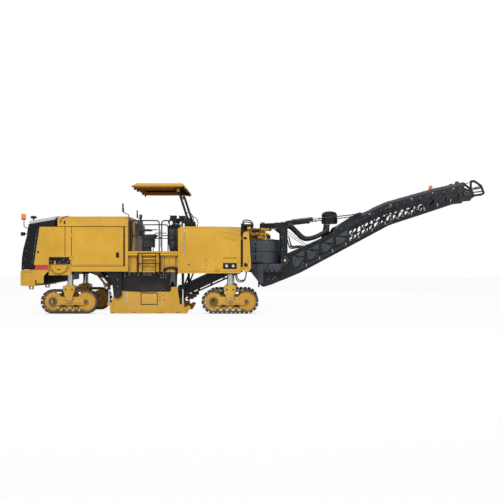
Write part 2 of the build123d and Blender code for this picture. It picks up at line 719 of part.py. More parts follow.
def swing_bracket():
    """Tapered bracket on the front body with the spindle that the crosshead turns on."""
    x, low, high = FRONT_BODY_FRONT_X, SKIRT_TOP, CROSSHEAD_LOW - SEAT
    tip = SWING_X + 95
    outline = ((x, low), (tip - 60, low), (tip, low + 60), (tip, high), (x, high))
    bracket = slab(outline, -170, 170)
    for sign in (-1, 1):
        taper = make_face(
            Polyline((tip + 1, sign * 171), (tip + 1, sign * 60), (tip - 150, sign * 171), close=True)
        )
        bracket -= flat(taper, low - 1, high + 1)
    spindle = bar((SWING_X, 0, low + 60), (SWING_X, 0, CROSSHEAD_HIGH + 25), SWING_PIN_RADIUS)
    return joined(bracket, spindle)


def transfer_skirt():
    """Rubber sheet round the lower conveyor's head: straight sides and a round front."""
    half, inner = SKIRT_RADIUS, SKIRT_RADIUS - SKIRT_WALL
    rear = FRONT_BODY_FRONT_X + SEAT

    def plan(radius):
        straight = Pos((rear + SWING_X) / 2, 0) * Rectangle(SWING_X - rear, 2 * radius)
        return straight + Pos(SWING_X, 0) * Circle(radius)

    sheet = plan(half) - (plan(inner) + Pos(rear, 0) * Rectangle(4, 2 * inner))
    return flat(sheet, SKIRT_LOW, SKIRT_TOP - 20) + flat(plan(half), SKIRT_TOP - 20, SKIRT_TOP - 8)


save("front_body", front_body())

post = front_posts()
save("front_brackets", *both(post), swing_bracket())
save("transfer_skirt", transfer_skirt())


# Lower conveyor: a trough with its belt, rising from the milling chamber
LOWER_PLANE = Plane(
    origin=(LOWER_PASS_X, 0, LOWER_PASS_Z),
    x_dir=(cos(radians(LOWER_SLOPE)), 0, sin(radians(LOWER_SLOPE))),
    z_dir=(0, -1, 0),
)


def belt_band(length, radius, thick, half_width):
    """Closed belt between two rollers, drawn along local x from its rear roller's centre."""
    outer = Pos(length / 2, 0) * SlotOverall(length + 2 * radius, 2 * radius)
    inner = Pos(length / 2, 0) * SlotOverall(length + 2 * (radius - thick), 2 * (radius - thick))
    return Pos(0, 0, -half_width) * extrude(outer - inner, 2 * half_width, dir=(0, 0, 1))


def lower_conveyor():
    cosine = cos(radians(LOWER_SLOPE))
    start = (LOWER_REAR_X - LOWER_PASS_X) / cosine
    end = (LOWER_FRONT_X - LOWER_PASS_X) / cosine - LOWER_DEPTH * 0.5
    roller = 95
    sides = []
    for side in (-1, 1):
        low, high = sorted((side * LOWER_HALF, side * (LOWER_HALF - LOWER_WALL)))
        centre = Pos((start + end) / 2, LOWER_DEPTH / 2, low)
        sides.append(centre * extrude(Rectangle(end - start, LOWER_DEPTH), high - low, dir=(0, 0, 1)))
    inner = LOWER_HALF - LOWER_WALL
    middle = LOWER_DEPTH / 2
    bases = []
    for x in (start + 260, (start + end) / 2, end - 260):
        tie = Pos(x, middle, -inner) * extrude(Rectangle(60, 40), 2 * inner, dir=(0, 0, 1))
        bases.append(tie)
    for x in (start + roller + 20, end - roller - 20):
        shaft = Pos(x, middle, -inner) * extrude(Circle(roller - 12 - RUN), 2 * inner, dir=(0, 0, 1))
        bases.append(shaft)
    hanger_x, hanger_length, hanger_height = 318, 200, 130
    reach = BEAM_INNER - SEAT - LOWER_HALF
    for low in (-LOWER_HALF - reach, LOWER_HALF):
        hanger = extrude(Rectangle(hanger_length, hanger_height), reach, dir=(0, 0, 1))
        sides.append(Pos(hanger_x, middle, low) * hanger)
    frame = joined(*sides, *bases)
    length = end - start - 2 * roller - 40
    belt = Pos(start + roller + 20, middle, 0) * belt_band(length, roller, 12, inner - 20)
    place = LOWER_PLANE.location
    return place * frame, place * belt


trough, belt = lower_conveyor()
save("lower_conveyor", trough)
save("lower_belt", belt)


# Milling chamber with its drum, moldboard and floating side plates
CHAMBER_LOW = 300
JOURNAL_RADIUS = 120


def milling_chamber():
    rear, front, low, top = CHAMBER_REAR_X, CHAMBER_FRONT_X, CHAMBER_LOW, CHAMBER_TOP
    outline = (
        (rear, top),
        (rear, 800),
        (rear + 160, 620),
        (rear + 260, low),
        (front - 230, low),
        (front - 20, 700),
        (front, top),
    )
    wall = slab(outline, -CHAMBER_HALF - CHAMBER_WALL, -CHAMBER_HALF)
    bore = pin(
        DRUM_X, DRUM_Z, -CHAMBER_HALF - CHAMBER_WALL - 1, -CHAMBER_HALF + 1, JOURNAL_RADIUS + RUN
    )
    wall -= bore
    hood_plate = block(rear + 150, front - 50, -CHAMBER_HALF, CHAMBER_HALF, top - 30, top)
    back = block(rear + 150, rear + 180, -CHAMBER_HALF, CHAMBER_HALF, 700, top - 30)
    breast = block(front - 80, front - 50, -CHAMBER_HALF, CHAMBER_HALF, 420, top - 30)
    mouth_half = LOWER_HALF + 30
    breast -= block(front - 81, front - 49, -mouth_half, mouth_half, 419, 960)
    return joined(*both(wall), hood_plate, back, breast)


def cutter_drum():
    """Drum body with helical rows of tool holders, each with its pick."""
    core = pin(0, 0, -DRUM_HALF, DRUM_HALF, DRUM_CORE_RADIUS)
    ends = both(pin(0, 0, -DRUM_HALF, -DRUM_HALF + 24, DRUM_CORE_RADIUS + 45))
    outer = CHAMBER_HALF + CHAMBER_WALL - 2
    journal = pin(0, 0, -outer, outer, JOURNAL_RADIUS)
    root, tip = DRUM_CORE_RADIUS - 12, DRUM_TIP_RADIUS
    tool = (
        (-PICK_ROOT * 0.6, root),
        (-PICK_ROOT * 0.5, root + 62),
        (tip * 0.10, tip),
        (tip * 0.14, tip - 26),
        (PICK_ROOT * 0.45, root + 40),
        (PICK_ROOT * 0.6, root),
    )
    spacing = (DRUM_HALF - 60) / PICKS_PER_SIDE
    picks = []
    for n in range(PICKS_PER_SIDE):
        y = 24 + n * spacing
        for side in (-1, 1):
            low = side * (y + PICK_WIDTH / 2) - PICK_WIDTH / 2
            turn = PICK_STEP_ANGLE * n + 90 * (1 + side)
            picks.append(Rot(0, turn, 0) * slab(tool, low, low + PICK_WIDTH))
    return Pos(DRUM_X, 0, DRUM_Z) * joined(core, *ends, journal, *picks)


def moldboard():
    """Upright scraper blade behind the drum, with its wear edge."""
    rear_x, half = CHAMBER_REAR_X + 180 + SEAT, CHAMBER_HALF - SIDE_GAP
    blade = block(rear_x, rear_x + 24, -half, half, 60, 900)
    edge = block(rear_x + 24, rear_x + 60, -half, half, 20, 150)
    ribs = [block(rear_x + 24, rear_x + 50, y - 15, y + 15, 150, 880) for y in (-700, 0, 700)]
    return joined(blade, edge, *ribs)


# Side plate outline, from its rear heel over the top to the front toe
SIDE_PLATE = (
    (-4538, 0),
    (-4538, 217),
    (-4467, 502),
    (-4235, 767),
    (-4167, 696),
    (-3828, 678),
    (-3580, 662),
    (-2675, 678),
    (-2641, 829),
    (-2456, 829),
    (-2375, 199),
    (-2215, 199),
    (-2110, 254),
    (-2040, 199),
    (-2162, 0),
)
STEP_REAR_X, STEP_FRONT_X, STEP_LOW, STEP_HIGH, STEP_DEPTH = -3580, -3100, 279, 640, 18
PLATE_Y = (PLATE_INNER + PLATE_OUTER) / 2
# Cylinder X, height of the rod's foot
PLATE_CYLINDERS = ((PLATE_CYLINDER_XS[0], 340), (PLATE_CYLINDER_XS[1], 290))


def side_plate():
    """Plate with its step pocket, wear shoe, heel and the feet of the two rods."""
    plate = slab(SIDE_PLATE, -PLATE_OUTER, -PLATE_INNER)
    plate -= block(
        STEP_REAR_X, STEP_FRONT_X, -PLATE_OUTER - 1, -PLATE_OUTER + STEP_DEPTH, STEP_LOW, STEP_HIGH
    )
    shoe_outline = ((-4538, 0), (-4538, 70), (-2180, 70), (-2162, 0))
    shoe = slab(shoe_outline, -PLATE_OUTER - 18, -PLATE_OUTER)
    toe = slab(((-4575, 217), (-4538, 0), (-4538, 217)), -PLATE_OUTER, -PLATE_INNER)
    feet = []
    for x, z in PLATE_CYLINDERS:
        inward = 90 if x < CHAMBER_REAR_X else -90
        x_low, x_high = sorted((x - 45 * inward / 90, x + inward))
        foot = block(x_low, x_high, -PLATE_OUTER - 10, -PLATE_INNER + 10, z - 100, z)
        feet.append(foot)
    return joined(plate, shoe, toe, *feet)


def plate_rods():
    top = PLATE_BARREL_LOW + 60
    return [bar((x, -PLATE_Y, z), (x, -PLATE_Y, top), PLATE_ROD_RADIUS) for x, z in PLATE_CYLINDERS]


def plate_barrels():
    barrels = []
    for x, _ in PLATE_CYLINDERS:
        low, neck, top = PLATE_BARREL_LOW, CHAMBER_TOP - 60, CHAMBER_TOP
        tube = bar((x, -PLATE_Y, low), (x, -PLATE_Y, neck), PLATE_BARREL_RADIUS, PLATE_ROD_RADIUS + RUN)
        head = bar((x, -PLATE_Y, neck), (x, -PLATE_Y, top), PLATE_BARREL_RADIUS)
        collar = bar((x, -PLATE_Y, low), (x, -PLATE_Y, low + 50), 50, PLATE_ROD_RADIUS + RUN)
        barrels.append(joined(tube, head, collar))
    return barrels


save("milling_chamber", milling_chamber())
save("cutter_drum", cutter_drum())
save("moldboard", moldboard())
plate, rods = side_plate(), plate_rods()
save("side_plate_right", plate)
save("side_plate_left", mirrored(plate))
save("plate_rods_right", *rods)
save("plate_rods_left", *[mirrored(rod) for rod in rods])
save("plate_barrels", *both(*plate_barrels()))


# Swing frame: a rear ring and two masts round the upper conveyor, hung from its crosshead
def swing_frame():
    ring = Pos(SWING_X, 0) * (Circle(RING_OUTER) - Circle(RING_INNER))
    ring -= Pos(SWING_X + RING_OUTER, 0) * Rectangle(2 * RING_OUTER, 2 * RING_OUTER + 2)
    rail = flat(ring, RING_LOW, RING_HIGH)
    arms = both(block(SWING_X, MAST_FRONT_X, -RING_OUTER, -RING_INNER, RING_LOW, RING_HIGH))
    mast = block(MAST_REAR_X, MAST_FRONT_X, -RING_OUTER, -RING_INNER, RING_LOW, MAST_TOP)
    mast_hole = pin(PIVOT_X, PIVOT_Z, -RING_OUTER - 1, -RING_INNER + 1, PIVOT_RADIUS)
    pivot = pin(PIVOT_X, PIVOT_Z, -RING_OUTER - 40, -BOOM_HALF + BOOM_PLATE, PIVOT_RADIUS)
    lift_pin = pin(*LIFT_REAR, LIFT_Y_AXIS - LIFT_EYE_HALF - 12, -RING_OUTER, LIFT_PIN)
    crosshead = block(
        CROSSHEAD_REAR_X, MAST_FRONT_X, -RING_OUTER, RING_OUTER, CROSSHEAD_LOW, CROSSHEAD_HIGH
    )
    tongue = make_face(
        Polyline(
            (CROSSHEAD_REAR_X, -320),
            (SWING_X, -105),
            (SWING_X, 105),
            (CROSSHEAD_REAR_X, 320),
            close=True,
        )
    )
    knuckle = tongue + Pos(SWING_X, 0) * Circle(105)
    knuckle -= Pos(SWING_X, 0) * Circle(SWING_PIN_RADIUS + RUN)
    arm = flat(knuckle, CROSSHEAD_LOW, CROSSHEAD_HIGH)
    return joined(rail, *arms, *both(mast - mast_hole, pivot, lift_pin), crosshead, arm)


def swing_skirt():
    """Rubber sheet inside the ring and arms, under the fixed skirt."""
    outer = RING_INNER - SEAT
    inner = outer - SKIRT_WALL
    front = MAST_FRONT_X - SWING_X

    def plan(radius, length):
        return Circle(radius) + Pos(length / 2, 0) * Rectangle(length, 2 * radius)

    sheet = plan(outer, front) - plan(inner, front + SKIRT_WALL)
    sheet -= Pos(outer, 0) * Rectangle(2 * outer, 2 * BOOM_HALF)
    return Pos(SWING_X, 0) * flat(sheet, RING_LOW, SKIRT_LOW - SKIRT_LAP)


save("swing_frame", swing_frame())
save("swing_skirt", swing_skirt())


# Upper conveyor. Outlines run from the tail to the head.
BOOM_BOTTOM = (
    (800, 1007),
    (1395, 1256),
    (3054, 2140),
    (4215, 2762),
    (4343, 2810),
    (5383, 3151),
    (6515, 3527),
    (6834, 3559),
)
BOOM_TOP = (
    (800, 1560),
    (1035, 1897),
    (2030, 2341),
    (2387, 2510),
    (4130, 3345),
    (5690, 3795),
    (6640, 3985),
)
BOOM_NOSE = ((6911, 3680), (6895, 3890))
TAIL_REAR_X, TAIL_TOP = 110, 1340
TAIL_FLOOR = (
    (TAIL_REAR_X, 960),
    (TAIL_REAR_X, 900),
    (160, 835),
    (230, 805),
    (290, 815),
    (511, 886),
    (860, 1032),
)
TRUSS_START_X, TRUSS_END_X, TRUSS_PANELS = 2960, 6500, 9
CHORD, DIAGONAL = 62, 46
RIB_START_X, RIB_PANELS, RIB, RIB_EDGE, RIB_DEPTH = 1120, 4, 55, 95, 25
BELT_TAIL, BELT_BEND, BELT_HEAD, BELT_RADIUS = (540, 1060), (4250, 3225), (6715, 3790), 110


def boom_side():
    """Side frame: plated at the tail, open between chords and diagonals towards the head."""
    outline = BOOM_BOTTOM + BOOM_NOSE + tuple(reversed(BOOM_TOP))
    inner = -BOOM_HALF + BOOM_PLATE
    side = slab(outline, -BOOM_HALF, inner)
    pitch = (TRUSS_END_X - TRUSS_START_X) / TRUSS_PANELS
    for n in range(TRUSS_PANELS):
        left, right = TRUSS_START_X + n * pitch, TRUSS_START_X + (n + 1) * pitch
        low_left, low_right = (height_on(BOOM_BOTTOM, x) + CHORD for x in (left, right))
        high_left, high_right = (height_on(BOOM_TOP, x) - CHORD for x in (left, right))
        lower = (
            (left + DIAGONAL, low_left + DIAGONAL * 0.4),
            (right - DIAGONAL / 2, low_right),
            (right - DIAGONAL / 2, high_right - DIAGONAL * 1.6),
        )
        upper = (
            (left + DIAGONAL / 2, low_left + DIAGONAL * 1.6),
            (left + DIAGONAL / 2, high_left),
            (right - DIAGONAL, high_right - DIAGONAL * 0.4),
        )
        for window in (lower, upper):
            side -= slab(window, -BOOM_HALF - 1, inner + 1)
    pitch = (TRUSS_START_X - RIB_START_X) / RIB_PANELS
    for n in range(RIB_PANELS):
        left, right = RIB_START_X + n * pitch, RIB_START_X + (n + 1) * pitch - RIB
        low, high = BOOM_BOTTOM, BOOM_TOP
        lower = (
            (left, height_on(low, left) + RIB_EDGE),
            (right, height_on(low, right) + RIB_EDGE),
            (right, height_on(high, right) - RIB_EDGE - RIB),
        )
        upper = (
            (left, height_on(low, left) + RIB_EDGE + RIB),
            (left, height_on(high, left) - RIB_EDGE),
            (right - RIB / 2, height_on(high, right) - RIB_EDGE),
        )
        for panel in (lower, upper):
            side -= slab(panel, -BOOM_HALF - 1, -BOOM_HALF + RIB_DEPTH)
    return side - pin(PIVOT_X, PIVOT_Z, -BOOM_HALF - 1, inner + 1, PIVOT_RADIUS + RUN)


def lift_bracket():
    """Plate on the conveyor's side with the stub pin that meets the rod's eye."""
    outline = ((2620, 2560), (2640, 2760), (2700, 2830), (3290, 3195), (3370, 3150), (3350, 2880))
    plate = slab(outline, -BOOM_HALF - 24, -BOOM_HALF)
    stub = pin(*LIFT_FRONT, LIFT_Y_AXIS + LIFT_EYE_HALF + SEAT, -BOOM_HALF, 24)
    return joined(plate, stub)


def boom_frame():
    inner = BOOM_HALF - BOOM_PLATE
    ties = []
    for x in (1500, 2200, 2960, 3750, 4530, 5320, 6110):
        ties.append(pin(x, height_on(BOOM_BOTTOM, x) + 38, -inner, inner, 30))
    deck_line = [(x, height_on(BOOM_TOP, x)) for x in (1060, 2030, 2387)]
    deck = slab(deck_line + [(x, z - 16) for x, z in reversed(deck_line)], -inner, inner)
    drum_radius = BELT_RADIUS - BELT_THICK - RUN
    head_drum = pin(*BELT_HEAD, -inner, inner, drum_radius)
    wall = 30
    tail_outline = TAIL_FLOOR + ((860, 1440), (640, 1400), (TAIL_REAR_X, TAIL_TOP))
    tail_side = slab(tail_outline, -TAIL_HALF, -TAIL_HALF + wall)
    tail_inner = TAIL_HALF - wall
    floor_line = TAIL_FLOOR[1:]
    floor = slab(
        floor_line + tuple((x, z + 20) for x, z in reversed(floor_line)), -tail_inner, tail_inner
    )
    back = block(TAIL_REAR_X, TAIL_REAR_X + 20, -tail_inner, tail_inner, TAIL_FLOOR[1][1], TAIL_TOP)
    gusset = slab(((800, 1010), (860, 1035), (860, 1440), (800, 1428)), -inner, -TAIL_HALF)
    tail_drum = pin(*BELT_TAIL, -tail_inner, tail_inner, drum_radius)
    return joined(
        *both(boom_side(), tail_side, gusset, lift_bracket()),
        *ties,
        deck,
        head_drum,
        floor,
        back,
        tail_drum,
    )


def boom_belt():
    """Closed belt over the tail, a bend and the head."""

    def band(radius):
        shape = Sketch()
        for (x_low, z_low), (x_high, z_high) in ((BELT_TAIL, BELT_BEND), (BELT_BEND, BELT_HEAD)):
            run_x, run_z = x_high - x_low, z_high - z_low
            slot = SlotCenterToCenter(hypot(run_x, run_z), 2 * radius)
            middle = Pos((x_low + x_high) / 2, (z_low + z_high) / 2)
            shape += middle * Rot(0, 0, degrees(atan2(run_z, run_x))) * slot
        return shape

    face = band(BELT_RADIUS) - band(BELT_RADIUS - BELT_THICK)
    solid = extrude(face, 2 * BELT_HALF, dir=(0, 0, 1))
    return Pos(0, BELT_HALF, 0) * Rot(90, 0, 0) * solid


def boom_cover():
    """Arched strip over the belt: two sides and a roof."""
    crown = ((2530, 2740), (4100, 3511), (5670, 3955), (6604, 4156), (6690, 4120))
    outline = BOOM_TOP[3:] + tuple(reversed(crown))
    sheet = 18
    sides = both(slab(outline, -BOOM_HALF, -BOOM_HALF + sheet))
    roof_outline = crown + tuple((x + 6, z - sheet) for x, z in reversed(crown))
    roof = slab(roof_outline, -BOOM_HALF + sheet, BOOM_HALF - sheet)
    return joined(*sides, roof)


def head_guard():
    """Two round-nosed hoops joined by cross bars, bolted to the head's sides."""
    radius = 20
    y = -BOOM_HALF - radius - SEAT
    tip = FRONT_X - radius
    hoop = bent_bar(
        ((6830, y, 3860), (6830, y, 4195), (6965, y, 4200), (7185, y, 4047), (tip, y, 3800),
         (7180, y, 3740), (6860, y, 3700)),
        45,
        radius,
    )
    spoke = bar((6860, y, 3885), (7195, y, 3965), 10)
    plate = block(6780, 6885, y - 10, -BOOM_HALF, 3660, 3905)
    rungs = [
        bar((x, y, z), (x, -y, z), 12)
        for x, z in ((6965, 4200), (7185, 4047), (FRONT_X - 12, 3806))
    ]
    return joined(*both(hoop, spoke, plate), *rungs)


save("boom_frame", boom_frame())
save("boom_belt", boom_belt())
save("boom_cover", boom_cover())
save("head_guard", head_guard())


# Lift cylinders of the upper conveyor, drawn along local z from their rear pins
LIFT_RUN_X, LIFT_RUN_Z = LIFT_FRONT[0] - LIFT_REAR[0], LIFT_FRONT[1] - LIFT_REAR[1]
LIFT_LENGTH = hypot(LIFT_RUN_X, LIFT_RUN_Z)


def lift_cylinder():
    """Barrel with its rear eye, and the rod with its link and front eye."""
    place = Plane(
        origin=(LIFT_REAR[0], LIFT_Y_AXIS, LIFT_REAR[1]),
        x_dir=(0, -1, 0),
        z_dir=(LIFT_RUN_X, 0, LIFT_RUN_Z),
    ).location
    bore = LIFT_ROD_RADIUS + RUN
    end = LIFT_BARREL_LENGTH
    closed = bar((0, 0, 30), (0, 0, 150), LIFT_BARREL_RADIUS)
    tube = bar((0, 0, 150), (0, 0, end), LIFT_BARREL_RADIUS, bore)
    gland = bar((0, 0, end - 50), (0, 0, end), LIFT_BARREL_RADIUS + 8, bore)
    eye = bar((-LIFT_EYE_HALF, 0, 0), (LIFT_EYE_HALF, 0, 0), LIFT_EYE)
    eye_hole = bar((-LIFT_EYE_HALF - 1, 0, 0), (LIFT_EYE_HALF + 1, 0, 0), LIFT_PIN + RUN)
    barrel = joined(closed, tube, gland, eye) - eye_hole
    shoulder = 1067
    rod = bar((0, 0, end - LIFT_HIDDEN_ROD), (0, 0, shoulder), LIFT_ROD_RADIUS)
    link = bar((0, 0, shoulder), (0, 0, LIFT_LENGTH), 16)
    front_eye = bar((-LIFT_EYE_HALF, 0, LIFT_LENGTH), (LIFT_EYE_HALF, 0, LIFT_LENGTH), 42)
    return place * barrel, place * joined(rod, link, front_eye)


barrel, rod = lift_cylinder()
save("lift_barrels", *both(barrel))
save("lift_rods", *both(rod))


# Dust blower on the upper conveyor and its two ducts from the crosshead
BLOWER_X, BLOWER_RADIUS, BLOWER_LOW, BLOWER_TOP = 2390, 250, 2850, 3250
DUCT_RADIUS, DUCT_Y, DUCT_START_Z = 78, 200, 2775
DUCT_END_X, DUCT_END_Z = 2300, 2800


def dust_blower():
    drum = bar((BLOWER_X, 0, BLOWER_LOW), (BLOWER_X, 0, BLOWER_TOP), BLOWER_RADIUS)
    drum = fillet(drum.edges().sort_by(Axis.Z)[-1], 130)
    rear_x, front_x = 2130, 2380
    foot_outline = (
        (rear_x, height_on(BOOM_TOP, rear_x)),
        (front_x, height_on(BOOM_TOP, front_x)),
        (front_x, BLOWER_LOW + 5),
        (rear_x + 90, BLOWER_LOW + 5),
    )
    foot = slab(foot_outline, -110, 110)
    inlets = both(
        bar((DUCT_END_X, -DUCT_Y, DUCT_END_Z), (DUCT_END_X, -DUCT_Y, BLOWER_LOW + 20), DUCT_RADIUS + 8)
    )
    return joined(drum, foot, *inlets)


def dust_duct():
    points = (
        (MAST_FRONT_X + SEAT, -DUCT_Y, DUCT_START_Z),
        (1120, -DUCT_Y, DUCT_START_Z),
        (1560, -DUCT_Y, 2340),
        (1900, -DUCT_Y, 2400),
        (DUCT_END_X, -DUCT_Y, 2610),
        (DUCT_END_X, -DUCT_Y, DUCT_END_Z - SEAT),
    )
    return bent_bar(points, 110, DUCT_RADIUS)


save("dust_blower", dust_blower())
save("dust_ducts", *both(dust_duct()))


# Canopy: two feet on the front body, folding posts and a levelled roof
POST_EYE, POST_PIN = 42, 18
EAR_GAP, EAR = 5, 18


def ears(x, z_low, z_high, pin_z):
    """Pair of upright ears about a post's line, with the pin between them."""
    inner = CANOPY_POST_HALF + EAR_GAP
    pieces = []
    for side in (-1, 1):
        y_low, y_high = sorted((side * inner, side * (inner + EAR)))
        pieces.append(block(x - 40, x + 40, y_low, y_high, z_low, z_high))
    pieces.append(pin(x, pin_z, -inner - EAR - 8, inner + EAR + 8, POST_PIN))
    return pieces


def canopy_foot():
    x, z = CANOPY_FOOT
    half = CANOPY_POST_HALF + EAR_GAP + EAR
    roof_line = FRONT_OUTLINE[2:4]
    base_outline = (
        (x - 60, height_on(roof_line, x - 60)),
        (x - 50, z - 80),
        (x + 50, z - 80),
        (x + 130, height_on(roof_line, x + 130)),
    )
    return Pos(0, -CANOPY_POST_Y, 0) * joined(
        slab(base_outline, -half, half), *ears(x, z - 80, z + 45, z)
    )


def canopy_posts():
    """Both posts, joined by a cross tube."""
    foot_x, foot_z = CANOPY_FOOT
    head_x, head_z = CANOPY_HEAD
    half = CANOPY_POST_HALF
    run_x, run_z = head_x - foot_x, head_z - foot_z
    length = hypot(run_x, run_z)
    nx, nz = half * run_z / length, -half * run_x / length
    outline = (
        (foot_x - nx, foot_z - nz),
        (foot_x + nx, foot_z + nz),
        (head_x + nx, head_z + nz),
        (head_x - nx, head_z - nz),
    )
    post = slab(outline, -half, half)
    for x, z in (CANOPY_FOOT, CANOPY_HEAD):
        post = joined(post, pin(x, z, -half, half, POST_EYE))
        post -= pin(x, z, -half - 1, half + 1, POST_PIN + RUN)
    post = Pos(0, -CANOPY_POST_Y, 0) * post
    tie_x, tie_z = foot_x + 0.82 * run_x, foot_z + 0.82 * run_z
    tie = pin(tie_x, tie_z, -CANOPY_POST_Y, CANOPY_POST_Y, 24)
    return joined(*both(post), tie)


def canopy_roof():
    """Roof skin with lips front and rear, side fascias and lengthwise ribs."""
    half = CANOPY_HALF
    outer = ((-3856, 3925), (-3684, 4020), (-2266, 4020), (-2205, 3915))
    inner = ((-2240, 3915), (-2284, 3992), (-3676, 3992), (-3822, 3912))
    skin = slab(outer + inner, -half, half)
    fascia_outline = (
        (-3822, 3912),
        (-3676, 3992),
        (-2284, 3992),
        (-2240, 3915),
        (-2300, 3905),
        (-3700, 3905),
    )
    fascia = slab(fascia_outline, -half, -half + 28)
    rib_outline = ((-3676, 3992), (-2284, 3992), (-2330, 3930), (-3660, 3930))
    ribs = [slab(rib_outline, y - 25, y + 25) for y in (-1150, -650, -350)]
    head_x, head_z = CANOPY_HEAD
    rail = slab(rib_outline, -CANOPY_POST_Y - 58, -CANOPY_POST_Y + 58)
    hangers = [Pos(0, -CANOPY_POST_Y, 0) * piece for piece in ears(head_x, head_z - 45, 3932, head_z)]
    return joined(skin, *both(fascia, *ribs, rail, *hangers))


save("canopy_feet", *both(canopy_foot()))
save("canopy_posts", canopy_posts())
save("canopy_roof", canopy_roof())


# Operator station
SEAT_Y, SEAT_HALF = -700, 240
CABINET_FRONT_X, CABINET_TOP = -3790, 2880
RAIL_Y, RAIL_RADIUS = BODY_HALF - 45, 19
CONSOLE_INNER, CONSOLE_OUTER = 430, 880


def seat():
    y, half = SEAT_Y, SEAT_HALF
    pedestal = block(-3589, -3335, y - 130, y + 130, DECK_TOP, 2100)
    base = block(-3600, -3190, y - half + 20, y + half - 20, 2100, 2365)
    cushion = slab(
        ((-3600, 2365), (-3152, 2365), (-3140, 2420), (-3160, 2485), (-3600, 2462)), y - half, y + half
    )
    back = slab(
        ((-3600, 2400), (-3575, 2470), (-3600, 2940), (-3660, 2950), (-3745, 2930), (-3700, 2400)),
        y - half,
        y + half,
    )
    headrest = slab(((-3620, 2940), (-3610, 3114), (-3690, 3114), (-3700, 2940)), y - 130, y + 130)
    pieces = [pedestal, base, cushion, back, headrest]
    for side in (-1, 1):
        y_low, y_high = sorted((y + side * half, y + side * (half + 60)))
        pieces.append(slab(((-3690, 2590), (-3330, 2590), (-3330, 2635), (-3690, 2635)), y_low, y_high))
    return joined(*pieces)


def console():
    """Right control console with its joystick and two monitors."""
    y_low, y_high = -CONSOLE_OUTER, -CONSOLE_INNER
    rear_x, front_x = -2780, FRONT_BODY_REAR_X - SEAT
    body = slab(
        (
            (rear_x + 60, DECK_TOP),
            (rear_x, 2300),
            (rear_x, 2700),
            (-2650, 2790),
            (front_x, 2790),
            (front_x, 2482),
            (front_x, DECK_TOP),
        ),
        y_low,
        y_high,
    )
    body -= block(rear_x - 1, -2560, y_low + 60, y_high - 60, DECK_TOP + 60, 2250)
    stick = bar((-2730, -760, 2690), (-2750, -760, 2830), 16)
    knob = bar((-2752, -760, 2815), (-2766, -760, 2905), 27)
    screens = []
    for x, y in ((-2625, -720), (-2360, -560)):
        frame = ((x - 110, 2905), (x + 60, 2900), (x + 110, 3055), (x - 80, 3060))
        screens.append(slab(frame, y - 130, y + 130))
        seat_line = ((-2780, 2790), (-2436, 2790)) if x < -2500 else FRONT_OUTLINE[1:3]
        stalk = [(x + dx, height_on(seat_line, x + dx)) for dx in (-20, 20)]
        screens.append(slab(stalk + [(x + 20, 2910), (x - 20, 2910)], y - 20, y + 20))
    return joined(body, stick, knob, *screens[:2]), joined(*screens[2:])


def handrails():
    """Two rails on each side of the deck, with the mirror's arm."""
    rails = []
    for rear_x, front_x, middle_z in ((-3915, -3012, 2420), (-2932, -2520, 2420)):
        hoop = ((rear_x, DECK_TOP), (rear_x, 2886), (front_x, 2886), (front_x, DECK_TOP))
        points = [(x, -RAIL_Y, z) for x, z in hoop]
        rail = bent_bar(points, 90, RAIL_RADIUS)
        knee = bar((rear_x, -RAIL_Y, middle_z), (front_x, -RAIL_Y, middle_z), 14)
        rails.append(joined(rail, knee))
    arm_points = (
        (-3915, -RAIL_Y, 2700),
        (-3915, -RAIL_Y - 60, 2900),
        (-3930, -1390, 3060),
        (-4075, -1400, 3120),
        (-4080, -1400, 3260),
    )
    arm = bent_bar(arm_points, 30, 12)
    rails[0] = joined(rails[0], arm)
    return rails


def rear_cabinet():
    """Cabinet across the deck behind the seat, with a slanted top edge."""
    rear_x, half = HOUSE_FRONT_X + SEAT, TUB_HALF
    outline = (
        (rear_x, DECK_TOP + SEAT),
        (rear_x, CABINET_TOP),
        (CABINET_FRONT_X - 60, CABINET_TOP),
        (CABINET_FRONT_X, CABINET_TOP - 60),
        (CABINET_FRONT_X, DECK_TOP + SEAT),
    )
    return slab(outline, -half, half)


save("rear_cabinet", rear_cabinet())
save("seat", seat())
console_body, front_screen = console()
save("consoles", *both(console_body, front_screen))
rails = handrails()
save("handrails", *both(*rails))
mirror_head = block(-4108, -4092.3, -1500, -1300, 3135, 3397)
save("mirrors", *both(mirror_head))


# Lamps and beacons
def beacon(x, y, low, radius, height):
    lens = bar((x, y, low), (x, y, low + height), radius)
    return fillet(lens.edges().sort_by(Axis.Z)[-1], radius * 0.45)


lamp_y = BODY_HALF - 70
stem_y = BODY_HALF - 100
stem_line = ((-7062.3, 2655), (-7120, 2655), (-7215, 2700), (-7215, 2940))
rear_stem = bent_bar([(x, -stem_y, z) for x, z in stem_line], 25, 12)
lamp_arm = bar((-7086.9, -lamp_y, 2490), (-7185, -lamp_y, 2475), 12)
lamp_ball = bar((-7180, -lamp_y, 2475), (-7285, -lamp_y, 2470), 55)
mast_stem = bar((5690, 0, height_on(((5670, 3955), (6604, 4156)), 5690) + 5), (5690, 0, 3985), 20)
save("lamp_stems", rear_stem, *both(joined(lamp_arm, lamp_ball)))
save("rear_beacon", beacon(-7228, -stem_y, 2940, 70, 160))
save("boom_beacon", joined(mast_stem, beacon(5690, 0, 3985, 60, 115)))


# Lashing eyes under the counterweight
def lashing_eye():
    x, low, top, half = -7060, 742, 862, 20
    outline = ((x - 90, top), (x - 60, low), (x + 60, low), (x + 90, top))
    return slab(outline, -900 - half, -900 + half) - pin(x, low + 58, -921, -879, LASH_RADIUS)


save("lashing_eyes", *both(lashing_eye()))
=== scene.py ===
"""Dresses the cold planer milling machine: finishes, fittings, hoses, light and camera."""

import json
import logging
import math
from dataclasses import dataclass
from enum import Enum
from math import cos, pi, radians, sin
from typing import Iterable, Sequence

import bmesh
import bpy
from mathutils import Matrix, Vector

